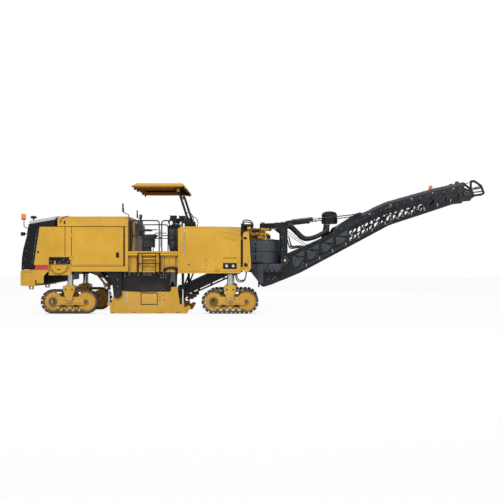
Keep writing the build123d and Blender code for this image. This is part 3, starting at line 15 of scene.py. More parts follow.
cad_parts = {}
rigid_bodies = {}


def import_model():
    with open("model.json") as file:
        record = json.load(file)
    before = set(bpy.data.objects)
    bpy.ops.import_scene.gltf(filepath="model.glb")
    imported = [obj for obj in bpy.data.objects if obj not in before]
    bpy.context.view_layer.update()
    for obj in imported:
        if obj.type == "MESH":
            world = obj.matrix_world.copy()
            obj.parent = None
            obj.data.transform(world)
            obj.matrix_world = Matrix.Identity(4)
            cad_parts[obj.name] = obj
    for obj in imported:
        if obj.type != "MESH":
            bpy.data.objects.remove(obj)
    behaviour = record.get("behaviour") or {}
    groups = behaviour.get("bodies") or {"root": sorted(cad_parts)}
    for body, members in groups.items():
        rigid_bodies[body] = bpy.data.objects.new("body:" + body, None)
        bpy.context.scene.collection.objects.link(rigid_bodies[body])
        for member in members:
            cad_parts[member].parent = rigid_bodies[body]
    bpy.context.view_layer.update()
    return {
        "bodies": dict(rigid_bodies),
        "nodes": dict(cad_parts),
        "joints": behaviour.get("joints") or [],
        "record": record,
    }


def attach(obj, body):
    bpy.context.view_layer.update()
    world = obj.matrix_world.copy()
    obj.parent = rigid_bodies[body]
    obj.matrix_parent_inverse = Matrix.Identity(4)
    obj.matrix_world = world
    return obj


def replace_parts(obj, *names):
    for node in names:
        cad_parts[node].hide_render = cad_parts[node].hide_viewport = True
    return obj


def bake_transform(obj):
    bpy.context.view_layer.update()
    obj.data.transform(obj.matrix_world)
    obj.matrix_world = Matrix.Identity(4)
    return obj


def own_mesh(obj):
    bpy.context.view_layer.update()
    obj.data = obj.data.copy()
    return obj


Point = tuple[float, float, float]
Flat = tuple[float, float]
Across = tuple[str, Point, Point]
Colour = tuple[float, float, float]

log = logging.getLogger("planer")
RIGHT, UP, AHEAD, BACK = (0, -1, 0), (0, 0, 1), (1, 0, 0), (-1, 0, 0)
SIDES = (("right", -1), ("left", 1))
BODY_Y = -1.25  # the body's right wall
SHARP = radians(35)  # edges that turn more than this stay sharp


# Shader maths


class Socket:
    """A node socket that takes part in arithmetic."""

    def __init__(self, graph: "Graph", socket: bpy.types.NodeSocket) -> None:
        """Keep the graph and the wrapped output socket."""
        self.graph, self.socket = graph, socket

    def _maths(self, operation: str, *values: "Socket | float") -> "Socket":
        """Add one Math node with its inputs in order, and return its result."""
        return self.graph.node("ShaderNodeMath", {"operation": operation}, dict(enumerate(values)))

    def __add__(self, other: "Socket | float") -> "Socket":
        """Sum."""
        return self._maths("ADD", self, other)

    def __rsub__(self, other: float) -> "Socket":
        """Difference from a number."""
        return self._maths("SUBTRACT", other, self)

    def __sub__(self, other: "Socket | float") -> "Socket":
        """Difference."""
        return self._maths("SUBTRACT", self, other)

    def __mul__(self, other: "Socket | float") -> "Socket":
        """Product."""
        return self._maths("MULTIPLY", self, other)

    def above(self, limit: float) -> "Socket":
        """One where the value is over a limit, and zero elsewhere."""
        return self._maths("GREATER_THAN", self, limit)

    def wave(self) -> "Socket":
        """Sine of the value in radians."""
        return self._maths("SINE", self)

    def ramp(self, low: float, high: float, start: float = 0.0, end: float = 1.0) -> "Socket":
        """Map a range onto another, clamped at both ends."""
        values = {0: self, 1: low, 2: high, 3: start, 4: end}
        return self.graph.node("ShaderNodeMapRange", {"clamp": True}, values)


class Graph:
    """The node tree of one material, which starts as one Principled shader."""

    def __init__(self, name: str) -> None:
        """Start the material under its name.

        Args:
            name: the material's name.
        """
        self.material = bpy.data.materials.new(name)
        self.material.use_nodes = True
        self.tree = self.material.node_tree
        self.shader = self.tree.nodes["Principled BSDF"]

    def node(self, kind: str, settings: dict, values: dict, output: int | str = 0) -> Socket:
        """Add one node.

        Args:
            kind: the node's type.
            settings: attributes set before the sockets.
            values: socket name or number to a value or a linked socket.
            output: which output is returned.

        Returns:
            The chosen output.
        """
        made = self.tree.nodes.new(kind)
        for key, value in settings.items():
            setattr(made, key, value)
        self.feed(made, values)
        return Socket(self, made.outputs[output])

    def feed(self, node: bpy.types.Node, values: dict) -> None:
        """Link or set a node's inputs, by socket name or number.

        Args:
            node: the node to feed.
            values: a value or a linked socket by name or number.
        """
        for key, value in values.items():
            if isinstance(value, Socket):
                self.tree.links.new(value.socket, node.inputs[key])
            else:
                node.inputs[key].default_value = value

    def axes(self) -> tuple[Socket, Socket, Socket]:
        """Split the object's coordinates.

        Returns:
            Its X, Y and Z in metres, as three values.
        """
        place = self.node("ShaderNodeTexCoord", {}, {}, "Object")
        outputs = self.node("ShaderNodeSeparateXYZ", {}, {0: place}).socket.node.outputs
        return tuple(Socket(self, outputs[axis]) for axis in "XYZ")

    def noise(self, scale: float, detail: float = 3.0) -> Socket:
        """Make fractal noise on object coordinates.

        Args:
            scale: waves per metre.
            detail: octaves.

        Returns:
            The noise, about 0.5.
        """
        place = self.node("ShaderNodeTexCoord", {}, {}, "Object")
        values = {"Vector": place, "Scale": scale, "Detail": detail, "Roughness": 0.6}
        return self.node("ShaderNodeTexNoise", {}, values, "Fac")

    def cells(self, scale: float) -> Socket:
        """Distance to the nearest of scattered points, for chips and grit."""
        place = self.node("ShaderNodeTexCoord", {}, {}, "Object")
        return self.node("ShaderNodeTexVoronoi", {}, {"Vector": place, "Scale": scale}, "Distance")

    def blend(self, mask: Socket, low: "Socket | Colour", high: "Socket | Colour") -> Socket:
        """Mix two colours.

        Args:
            mask: share of the high colour.
            low: colour where the mask is 0.
            high: colour where it is 1.

        Returns:
            The mixed colour.
        """
        values: dict = {"Factor": mask}
        for key, colour in ((6, low), (7, high)):
            values[key] = colour if isinstance(colour, Socket) else (*colour, 1.0)
        return self.node("ShaderNodeMix", {"data_type": "RGBA", "clamp_factor": True}, values, 2)

    def edges(self, radius: float) -> Socket:
        """Mask the solid's edges, from how a rounded normal departs from the flat one.

        Args:
            radius: radius of the rounded normal in metres.

        Returns:
            The mask.
        """
        rounded_normal = self.node("ShaderNodeBevel", {"samples": 4}, {"Radius": radius})
        flat = self.node("ShaderNodeNewGeometry", {}, {}, "Normal")
        values = {0: rounded_normal, 1: flat}
        facing = self.node("ShaderNodeVectorMath", {"operation": "DOT_PRODUCT"}, values, "Value")
        return (1 - facing).ramp(0.02, 0.25)

    def finish(
        self, colour: "Socket | Colour", rough: "Socket | float", bump: Socket | None, depth: float,
        **more: object
    ) -> bpy.types.Material:
        """Feed the shader.

        Args:
            colour: base colour.
            rough: roughness.
            bump: height that the Bump node reads.
            depth: the bump's height in metres.
            more: other Principled sockets, with _ for each space.

        Returns:
            The finished material.
        """
        base = colour if isinstance(colour, Socket) else (*colour, 1.0)
        inputs = {key.replace("_", " "): value for key, value in more.items()}
        self.feed(self.shader, {"Base Color": base, "Roughness": rough, **inputs})
        if bump is not None:
            normal = self.node("ShaderNodeBump", {}, {"Height": bump, "Distance": depth, "Strength": 1.0})
            self.feed(self.shader, {"Normal": normal})
        return self.material


def shade(colour: Colour, share: float) -> Colour:
    """A colour made darker or brighter."""
    return tuple(share * c for c in colour)


# Finishes


@dataclass(frozen=True)
class Paint:
    """Sprayed paint over steel, with a painted highlight that makes its edges paler, and dusty towards the
    ground.
    """

    name: str
    colour: Colour
    # Lighter colour of the painted edge highlight.
    edge: Colour
    roughness: float = 0.38
    edge_highlight_amount: float = 0.5
    shine: float = 0.3
    coat: float = 0.05
    dust: Colour = (0.30, 0.25, 0.19)
    dust_amount: float = 0.25
    peel: float = 0.0004

    def material(self) -> bpy.types.Material:
        """Build the node material.

        Returns:
            The finished material.
        """
        graph = Graph(self.name)
        patches, fine = graph.noise(1.3, 4.0), graph.noise(38.0, 2.0)
        colour = graph.blend(patches.ramp(0.38, 0.66), shade(self.colour, 0.86), self.colour)
        # Painted highlight: the edge colour lightens the solid's edges, broken up by fine noise.
        rim = graph.edges(0.012) * fine.ramp(0.3, 0.6, 0.55, 1.0) * self.edge_highlight_amount
        colour = graph.blend(rim, colour, self.edge)
        low = graph.axes()[2].ramp(0.1, 1.5, 1.0, 0.06)
        dusty = low * (fine * 0.5 + patches * 0.5).ramp(0.42, 0.62) * self.dust_amount
        colour = graph.blend(dusty, colour, self.dust)
        rough = patches.ramp(0.3, 0.7, self.roughness - 0.06, self.roughness + 0.08) + dusty * 0.5
        more = {"Metallic": 0.0, "Coat_Weight": self.coat, "Coat_Roughness": 0.25}
        more["Specular_IOR_Level"] = self.shine
        return graph.finish(colour, rough, graph.noise(160.0, 1.0), self.peel, **more)


@dataclass(frozen=True)
class Metal:
    """Bare metal, from hard chrome to a worn casting."""

    name: str
    colour: Colour
    roughness: float
    stain: Colour
    stain_amount: float = 0.3
    metallic: float = 1.0

    def material(self) -> bpy.types.Material:
        """Build the node material.

        Returns:
            The finished material.
        """
        graph = Graph(self.name)
        lines = graph.noise(90.0, 2.0)
        mask = graph.noise(7.0, 4.0).ramp(0.45, 0.72) * self.stain_amount
        colour = graph.blend(mask, self.colour, self.stain)
        rough = lines.ramp(0.3, 0.7, self.roughness * 0.8, self.roughness * 1.25) + mask * 0.3
        metallic = self.metallic if self.metallic < 1.0 else 1.0 - mask * 0.4
        return graph.finish(colour, rough, lines, 0.0003, Metallic=metallic)


@dataclass(frozen=True)
class Rubber:
    """Moulded rubber or plastic with a fine grain."""

    name: str
    colour: Colour
    roughness: float = 0.6
    dust: Colour = (0.20, 0.17, 0.13)
    dust_amount: float = 0.15
    grain: float = 220.0
    depth: float = 0.0006

    def material(self) -> bpy.types.Material:
        """Build the node material.

        Returns:
            The finished material.
        """
        graph = Graph(self.name)
        grain = graph.noise(self.grain, 2.0)
        dusty = graph.noise(4.0, 4.0).ramp(0.4, 0.7) * self.dust_amount
        colour = graph.blend(dusty, self.colour, self.dust)
        rough = grain.ramp(0.3, 0.7, self.roughness - 0.08, self.roughness + 0.1)
        return graph.finish(colour, rough, grain, self.depth)


@dataclass(frozen=True)
class DustyChain:
    """A crawler chain: dark steel and rubber, tan dust caught in it, bright where it wears."""

    name: str
    colour: Colour
    dust: Colour
    bright: Colour

    def material(self) -> bpy.types.Material:
        """Build the node material.

        Returns:
            The finished material.
        """
        graph = Graph(self.name)
        dusty = (graph.noise(9.0, 5.0) * 0.7 + graph.cells(55.0) * 0.4).ramp(0.32, 0.62) * 0.8
        worn = graph.edges(0.006) * 0.7
        colour = graph.blend(worn, graph.blend(dusty, self.colour, self.dust), self.bright)
        return graph.finish(colour, 0.72 - worn * 0.3, graph.noise(120.0, 3.0), 0.0012, Metallic=worn * 0.7)


@dataclass(frozen=True)
class Lens:
    """Coloured or clear moulded lens with a prism pattern inside."""

    name: str
    colour: Colour
    pitch: float = 0.012
    glow: float = 0.0

    def material(self) -> bpy.types.Material:
        """Build the node material.

        Returns:
            The finished material.
        """
        graph = Graph(self.name)
        across, _, up = graph.axes()
        turns = 2 * pi / self.pitch
        prisms = (across * turns).wave() * (up * turns).wave()
        colour = graph.blend(prisms.ramp(-1.0, 1.0), shade(self.colour, 0.72), self.colour)
        more = {"Emission_Color": colour, "Emission_Strength": self.glow} if self.glow else {}
        return graph.finish(colour, 0.12, prisms, 0.0008, Coat_Weight=1.0, Coat_Roughness=0.03, **more)


@dataclass(frozen=True)
class Hide:
    """Grained vinyl with a stitched look."""

    name: str
    colour: Colour

    def material(self) -> bpy.types.Material:
        """Build the node material.

        Returns:
            The finished material.
        """
        graph = Graph(self.name)
        creases = graph.cells(140.0)
        colour = graph.blend(graph.noise(6.0).ramp(0.35, 0.7), self.colour, shade(self.colour, 1.7))
        return graph.finish(colour, creases.ramp(0.0, 0.6, 0.62, 0.42), creases, 0.0012)


@dataclass(frozen=True)
class Tread:
    """Pressed anti-slip plate with raised diagonal dashes."""

    name: str
    colour: Colour
    worn: Colour
    pitch: float = 0.05

    def material(self) -> bpy.types.Material:
        """Build the node material.

        Returns:
            The finished material.
        """
        graph = Graph(self.name)
        across, side, _ = graph.axes()
        turns = 2 * pi / self.pitch
        dashes = (((across + side) * turns).wave() * ((across - side) * turns).wave()).ramp(0.25, 0.75)
        colour = graph.blend(dashes, self.colour, self.worn)
        return graph.finish(colour, 0.62 - dashes * 0.2, dashes, 0.003)


@dataclass(frozen=True)
class Pane:
    """Mirror glass or a dark screen, smudged a little."""

    name: str
    colour: Colour
    metallic: float
    roughness: float = 0.06

    def material(self) -> bpy.types.Material:
        """Build the node material.

        Returns:
            The finished material.
        """
        graph = Graph(self.name)
        smudge = graph.noise(14.0)
        rough = smudge.ramp(0.4, 0.7, self.roughness, self.roughness + 0.12)
        colour = graph.blend(smudge.ramp(0.3, 0.8), self.colour, shade(self.colour, 0.8))
        return graph.finish(colour, rough, None, 0.0, Metallic=self.metallic)


@dataclass(frozen=True)
class Rule:
    """Pale strip with marks up it."""

    name: str
    pale: Colour
    mark: Colour
    pitch: float = 0.02

    def material(self) -> bpy.types.Material:
        """Build the node material.

        Returns:
            The finished material.
        """
        graph = Graph(self.name)
        marks = (graph.axes()[2] * (2 * pi / self.pitch)).wave().above(0.7)
        grime = graph.noise(30.0)
        pale = graph.blend(grime.ramp(0.4, 0.7), self.pale, shade(self.pale, 0.8))
        colour = graph.blend(marks, pale, self.mark)
        return graph.finish(colour, grime.ramp(0.3, 0.7, 0.4, 0.55), grime, 0.0003)


SLOTS = {
    "yellow_paint": "SHADE_YELLOW PALE_YELLOW BROWN UMBER RULE",
    "black_paint": "SATIN EDGE SHADOW TREAD SCREEN",
    "worn_steel": "CARBIDE BOLT",
    "black_rubber": "HOSE SKIRT",
    "track_rubber": "LINKS",
    "chrome_rod": "CLEAR",
}
MATT = {"roughness": 0.8, "edge_highlight_amount": 0.2, "shine": 0.0, "coat": 0.0}


class Finish(Enum):
    """Every finish on the machine."""

    YELLOW = Paint("yellow_paint", (0.650, 0.362, 0.034), (0.86, 0.56, 0.14))
    SHADE_YELLOW = Paint("shaded_yellow_paint", (0.36, 0.185, 0.030), (0.62, 0.38, 0.12))
    BLACK = Paint("black_paint", (0.006, 0.0065, 0.0075), (0.08, 0.08, 0.09), 0.38, 0.3, 0.2)
    SATIN = Paint("boom_black", (0.012, 0.014, 0.019), (0.08, 0.09, 0.105), 0.36, 0.5, 0.24)
    # Lighter copy of the yellow paint: a painted highlight along the hood's and posts' edges; it also colours
    # the pale patches on the masts.
    PALE_YELLOW = Paint("pale_yellow_edge", (0.80, 0.56, 0.24), (0.92, 0.74, 0.42), 0.38, 0.3)
    # Lighter copy of the black paint: a painted highlight along the shroud's seams and the cover's edges.
    EDGE = Paint("pale_edge_highlight", (0.16, 0.165, 0.18), (0.40, 0.41, 0.43), 0.38, 0.3)
    # Yellow paint darkened as painted shade, for undersides, caps, plugs, struts and the canopy's lining.
    BROWN = Paint("underside_shade", (0.135, 0.085, 0.04), (0.28, 0.19, 0.1), 0.38, 0.3)
    # Yellow paint darkened as painted shade, for the canopy's ceiling.
    UMBER = Paint("ceiling_shade_umber", (0.24, 0.085, 0.014), (0.3, 0.14, 0.04), **MATT)
    SHADOW = Paint("ceiling_shadow", (0.012, 0.008, 0.006), (0.05, 0.03, 0.02), **MATT)
    IRON = Metal("engine_grey", (0.11, 0.11, 0.115), 0.55, (0.05, 0.04, 0.03), metallic=0.3)
    CHROME = Metal("chrome_rod", (0.76, 0.77, 0.79), 0.12, (0.4, 0.38, 0.34), 0.12)
    STEEL = Metal("worn_steel", (0.34, 0.32, 0.30), 0.42, (0.12, 0.07, 0.04), 0.55)
    CARBIDE = Metal("pick_steel", (0.45, 0.43, 0.40), 0.34, (0.16, 0.1, 0.06), 0.45)
    BOLT = Metal("bolt_steel", (0.30, 0.30, 0.31), 0.38, (0.10, 0.07, 0.05), 0.4)
    # Finish of the grey sheet slot; also a painted reflection on the boom's pocket panels and a painted sheen
    # on the cover's bands.
    SHEET = Paint("grey_sheet", (0.048, 0.058, 0.074), (0.20, 0.23, 0.27), 0.42)
    PALE_SHEET = Metal("pale_grille", (0.55, 0.56, 0.58), 0.45, (0.25, 0.25, 0.25), 0.4, 0.3)
    RUBBER = Rubber("black_rubber", (0.020, 0.020, 0.023))
    HOSE = Rubber("hose_rubber", (0.014, 0.014, 0.016), 0.42, dust_amount=0.06, grain=300.0)
    PLASTIC = Rubber("mirror_shell", (0.020, 0.020, 0.022), 0.5, dust_amount=0.05)
    SKIRT = Rubber("skirt_sheet", (0.030, 0.036, 0.050), 0.55, (0.10, 0.11, 0.13), 0.3, 60.0)
    CHAIN = DustyChain("track_rubber", (0.013, 0.012, 0.011), (0.065, 0.045, 0.026), (0.50, 0.48, 0.44))
    LINKS = DustyChain("link_iron", (0.09, 0.055, 0.022), (0.27, 0.155, 0.05), (0.50, 0.45, 0.36))
    RED = Lens("red_lens", (0.62, 0.015, 0.035))
    ORANGE = Lens("orange_lens", (0.88, 0.17, 0.02), glow=0.25)
    CLEAR = Lens("lamp_glass", (0.72, 0.74, 0.76), 0.02)
    VINYL = Hide("seat_vinyl", (0.022, 0.022, 0.024))
    TREAD = Tread("tread_plate", (0.028, 0.028, 0.030), (0.16, 0.16, 0.165))
    RULE = Rule("depth_rule", (0.62, 0.60, 0.52), (0.02, 0.02, 0.02))
    GLASS = Pane("mirror_glass", (0.80, 0.82, 0.84), 1.0)
    SCREEN = Pane("dark_screen", (0.012, 0.018, 0.026), 0.0, 0.09)

    def made(self) -> bpy.types.Material:
        """Build the finish's material the first time that it is asked for.

        Returns:
            The material.
        """
        name = self.value.name + "_finish"
        found = bpy.data.materials.get(name)
        if found is None:
            found = self.value.material()
            found.name = name
        return found

    def slot(self) -> str:
        """The record's material slot that the finish belongs to."""
        return next((slot for slot, names in SLOTS.items() if self.name in names.split()), self.value.name)


# Mesh making


def spread(start: float, end: float, count: int) -> list[float]:
    """Evenly spaced values from start to end."""
    return [start + (end - start) * i / (count - 1) for i in range(count)]


def circle(count: int, radius: float, start: float = 0.0) -> list[Flat]:
    """Evenly spaced points round a circle about the origin."""
    turns = (start + 2 * pi * i / count for i in range(count))
    return [(radius * cos(a), radius * sin(a)) for a in turns]


def disc(radius: float, height: float, crown: float | None = None) -> list[Flat]:
    """Profile of a plain disc, whose middle may stand higher than its rim."""
    return [(0, 0), (radius, 0), (radius, height), (0, height if crown is None else crown)]


def knob(radius: float, height: float, top: float, crown: float) -> list[Flat]:
    """Profile of a disc with a narrower top."""
    return [(0, 0), (radius, 0), (radius, height), (top, crown), (0, crown)]


def collar(inner: float, outer: float, height: float, start: float = 0.0) -> list[Flat]:
    """Profile of a plain ring."""
    return [(inner, start), (outer, start), (outer, height), (inner, height)]


def rounded(points: Sequence[Point], bend: float, steps: int = 5) -> list[Vector]:
    """Round a route's corners.

    Args:
        points: the route's corners.
        bend: radius of each bend.
        steps: points on each bend.

    Returns:
        The rounded route.
    """
    corners = [Vector(p) for p in points]
    route = [corners[0]]
    for before, here, after in zip(corners, corners[1:], corners[2:]):
        back, ahead = (before - here), (after - here)
        reach = min(bend, 0.45 * back.length, 0.45 * ahead.length)
        start, end = here + back.normalized() * reach, here + ahead.normalized() * reach
        for step in range(steps + 1):
            t = step / steps
            route.append(start * (1 - t) ** 2 + here * (2 * t * (1 - t)) + end * t**2)
    return [*route, corners[-1]]


class Piece:
    """One new piece, shaped with bmesh operators and then handed over to the frame."""

    def __init__(self, name: str, finish: Finish, body: str = "chassis") -> None:
        """Start an empty mesh under its name, with its finish and the body that it rides on."""
        self.name, self.finish, self.body = name, finish, body
        self.mesh = bmesh.new()

    def _bevelled(self, verts: Iterable, width: float) -> "Piece":
        """Bevel the sharp edges between the given vertices, if the width isn't zero.

        Args:
            verts: the vertices.
            width: the bevel's width.

        Returns:
            The piece.
        """
        if width:
            chosen = set(verts)
            inside = (e for e in self.mesh.edges if chosen.issuperset(e.verts))
            edges = [e for e in inside if e.calc_face_angle(0.0) > 0.5]
            bmesh.ops.bevel(
                self.mesh, geom=edges, offset=width, segments=2, profile=0.5, affect="EDGES", material=-1,
                clamp_overlap=True,
            )
        return self

    def block(self, low: Point, high: Point, bevel: float = 0.0, turn: Matrix | None = None) -> "Piece":
        """Add a box.

        Args:
            low: its lowest corner.
            high: its highest corner.
            bevel: width of its rounded edges.
            turn: a rotation about its middle.

        Returns:
            The piece.
        """
        size = [h - l for l, h in zip(low, high)]
        middle = Vector([(h + l) / 2 for l, h in zip(low, high)])
        matrix = Matrix.Translation(middle) @ (turn or Matrix()).to_4x4() @ Matrix.Diagonal((*size, 1.0))
        return self._bevelled(bmesh.ops.create_cube(self.mesh, size=1.0, matrix=matrix)["verts"], bevel)

    def blocks(self, bevel: float, *corners: tuple) -> "Piece":
        """Add boxes.

        Args:
            bevel: width of their rounded edges.
            corners: lowest and highest corner of each, as six numbers.

        Returns:
            The piece.
        """
        for box in corners:
            self.block(box[:3], box[3:], bevel)
        return self

    def around(self, middle: Point, half: Point, bevel: float = 0.0, turn: Matrix | None = None) -> "Piece":
        """Add a box by its middle and half its size, turned about its middle."""
        place, size = Vector(middle), Vector(half)
        return self.block(place - size, place + size, bevel, turn)

    def rod(
        self, start: Point, end: Point, radius: float, tip: float | None = None, sides: int = 16,
        bevel: float = 0.0
    ) -> "Piece":
        """Add a round bar or cone between two points.

        Args:
            start: one end's centre.
            end: the other end's centre.
            radius: radius at the start.
            tip: radius at the end, or the same.
            sides: faces around it.
            bevel: width of its rounded ends.

        Returns:
            The piece.
        """
        a, b = Vector(start), Vector(end)
        turn = (b - a).to_track_quat("Z", "Y").to_matrix().to_4x4()
        made = bmesh.ops.create_cone(
            self.mesh, cap_ends=True, segments=sides, radius1=radius, radius2=radius if tip is None else tip,
            depth=(b - a).length, matrix=Matrix.Translation((a + b) / 2) @ turn,
        )
        return self._bevelled(made["verts"], bevel)

    def plate(self, outline: Sequence[Flat], low: float, high: float, bevel: float = 0.0) -> "Piece":
        """Add a plate pulled across the machine.

        Args:
            outline: its (x, z) corners.
            low: its lowest y.
            high: its highest y.
            bevel: width of its rounded edges.

        Returns:
            The piece.
        """
        corners = [self.mesh.verts.new((x, low, z)) for x, z in outline]
        face = self.mesh.faces.new(corners)
        pulled = bmesh.ops.extrude_face_region(self.mesh, geom=[face])["geom"]
        verts = [v for v in pulled if isinstance(v, bmesh.types.BMVert)]
        bmesh.ops.translate(self.mesh, verts=verts, vec=(0, high - low, 0))
        self._face_out(corners + verts)
        return self._bevelled(corners + verts, bevel)

    def _face_out(self, verts: Iterable) -> None:
        """Turn the faces at these vertices outwards."""
        bmesh.ops.recalc_face_normals(self.mesh, faces=list({f for v in verts for f in v.link_faces}))

    def ball(self, centre: Point, radius: float) -> "Piece":
        """Add a ball.

        Args:
            centre: its centre.
            radius: its radius.

        Returns:
            The piece.
        """
        matrix = Matrix.Translation(centre)
        bmesh.ops.create_uvsphere(self.mesh, u_segments=20, v_segments=12, radius=radius, matrix=matrix)
        return self

    def ring(self, centre: Point, profile: Sequence[Flat], sides: int = 32, axis: Point = RIGHT) -> "Piece":
        """Turn a closed profile about an axis.

        Args:
            centre: a point on the axis.
            profile: corners as (radius, height along the axis).
            sides: steps around.
            axis: the axis.

        Returns:
            The piece.
        """
        turn = Matrix.Translation(centre) @ Vector(axis).to_track_quat("Z", "Y").to_matrix().to_4x4()
        verts = [self.mesh.verts.new((r, 0.0, h)) for r, h in profile]
        edges = [self.mesh.edges.new((a, b)) for a, b in zip(verts, verts[1:] + verts[:1])]
        bmesh.ops.spin(
            self.mesh, geom=verts + edges, cent=(0, 0, 0), axis=UP, angle=2 * pi, steps=sides, use_merge=True
        )
        made = self._connected(verts[0])
        bmesh.ops.remove_doubles(self.mesh, verts=made, dist=1e-6)
        made = self._connected(next(v for v in made if v.is_valid))
        bmesh.ops.transform(self.mesh, matrix=turn, verts=made)
        self._face_out(made)
        return self

    @staticmethod
    def _connected(start: bmesh.types.BMVert) -> list:
        """Walk along the edges from a vertex.

        Args:
            start: the vertex.

        Returns:
            Every vertex reached.
        """
        seen, queue = {start}, [start]
        while queue:
            vert = queue.pop()
            fresh = {edge.other_vert(vert) for edge in vert.link_edges} - seen
            seen |= fresh
            queue += fresh
        return list(seen)

    def pipe(self, points: Sequence[Point], radius: float, bend: float = 0.0, sides: int = 8) -> "Piece":
        """Add a bent rail or tube.

        Args:
            points: its route's corners.
            radius: its radius.
            bend: radius of its bends.
            sides: faces around it.

        Returns:
            The piece.
        """
        route = rounded(points, bend) if bend else [Vector(p) for p in points]
        rings = []
        up = Vector((0, 1, 0)) if abs((route[1] - route[0]).normalized().y) < 0.9 else Vector((1, 0, 0))
        for here, before, after in zip(route, route[:1] + route, route[1:] + route[-1:]):
            along = (after - before).normalized()
            side = along.cross(up).normalized()
            up = side.cross(along).normalized()
            matrix = Matrix.Translation(here) @ Matrix((side, up, along)).transposed().to_4x4()
            made = bmesh.ops.create_circle(self.mesh, segments=sides, radius=radius, matrix=matrix)
            rings.append(made["verts"])
        for pair in zip(rings, rings[1:]):
            ends = [set(ring) for ring in pair]
            edges = [e for end in ends for e in self.mesh.edges if end.issuperset(e.verts)]
            bmesh.ops.bridge_loops(self.mesh, edges=edges)
        for end in (rings[0], rings[-1]):
            bmesh.ops.contextual_create(self.mesh, geom=end)
        self._face_out(v for ring in rings for v in ring)
        return self

    def bolts(self, spots: Iterable[Point], radius: float, height: float, axis: Point = RIGHT) -> "Piece":
        """Add hexagon bolt heads on washers.

        Args:
            spots: where each head stands.
            radius: half the head's width.
            height: the head's height.
            axis: the way that the heads point.

        Returns:
            The piece.
        """
        out = Vector(axis).normalized()
        for spot in spots:
            foot = Vector(spot)
            self.rod(foot - out * 0.004, foot + out * height * 0.3, radius * 1.45, sides=12)
            self.rod(foot + out * height * 0.3, foot + out * height, radius, sides=6)
        return self

    def both_sides(self) -> "Piece":
        """Add the mirror image across the machine's middle plane.

        Returns:
            The piece.
        """
        geom = self.mesh.verts[:] + self.mesh.edges[:] + self.mesh.faces[:]
        copied = bmesh.ops.duplicate(self.mesh, geom=geom)["geom"]
        kinds = (bmesh.types.BMVert, bmesh.types.BMFace)
        self._mirror([[g for g in copied if isinstance(g, kind)] for kind in kinds])
        return self

    def on_side(self, side: int) -> "Piece":
        """Keep the piece on the right, or mirror all of it to the left.

        Args:
            side: -1 for the right and 1 for the left.

        Returns:
            The piece.
        """
        if side > 0:
            self._mirror((self.mesh.verts, self.mesh.faces))
        return self

    def _mirror(self, geom: Sequence) -> None:
        """Mirror vertices across the middle plane, and turn their faces outwards again."""
        bmesh.ops.scale(self.mesh, vec=(1, -1, 1), verts=geom[0])
        bmesh.ops.reverse_faces(self.mesh, faces=geom[1])

    def shift(self, along: Point) -> "Piece":
        """Move all of it."""
        bmesh.ops.translate(self.mesh, verts=self.mesh.verts, vec=along)
        return self

    def ready(self, slot: str = "", smooth: bool = True, across: Across | None = None) -> bpy.types.Object:
        """Make the object and hand it to the frame.

        Args:
            slot: the record's material slot, when it isn't the finish's own; not used.
            smooth: whether gentle edges are shaded smooth.
            across: second body and two points of a piece over a joint; only whether it is given is read, and
                such a piece is left on no body.

        Returns:
            The new object.
        """
        data = bpy.data.meshes.new(self.name)
        self.mesh.to_mesh(data)
        self.mesh.free()
        if smooth:
            data.shade_smooth()
            data.set_sharp_from_angle(angle=SHARP)
        made = bpy.data.objects.new(self.name, data)
        bpy.context.scene.collection.objects.link(made)
        made.data.materials.append(self.finish.made())
        if across is None:
            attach(made, self.body)
        else:
            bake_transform(made)
        slot or self.finish.slot()
        log.info("%s: %d faces on %s", self.name, len(data.polygons), self.body)
        return made

    def pair(self, slot: str = "") -> bpy.types.Object:
        """Mirror it to both sides and hand it over."""
        return self.both_sides().ready(slot)


# Crawlers


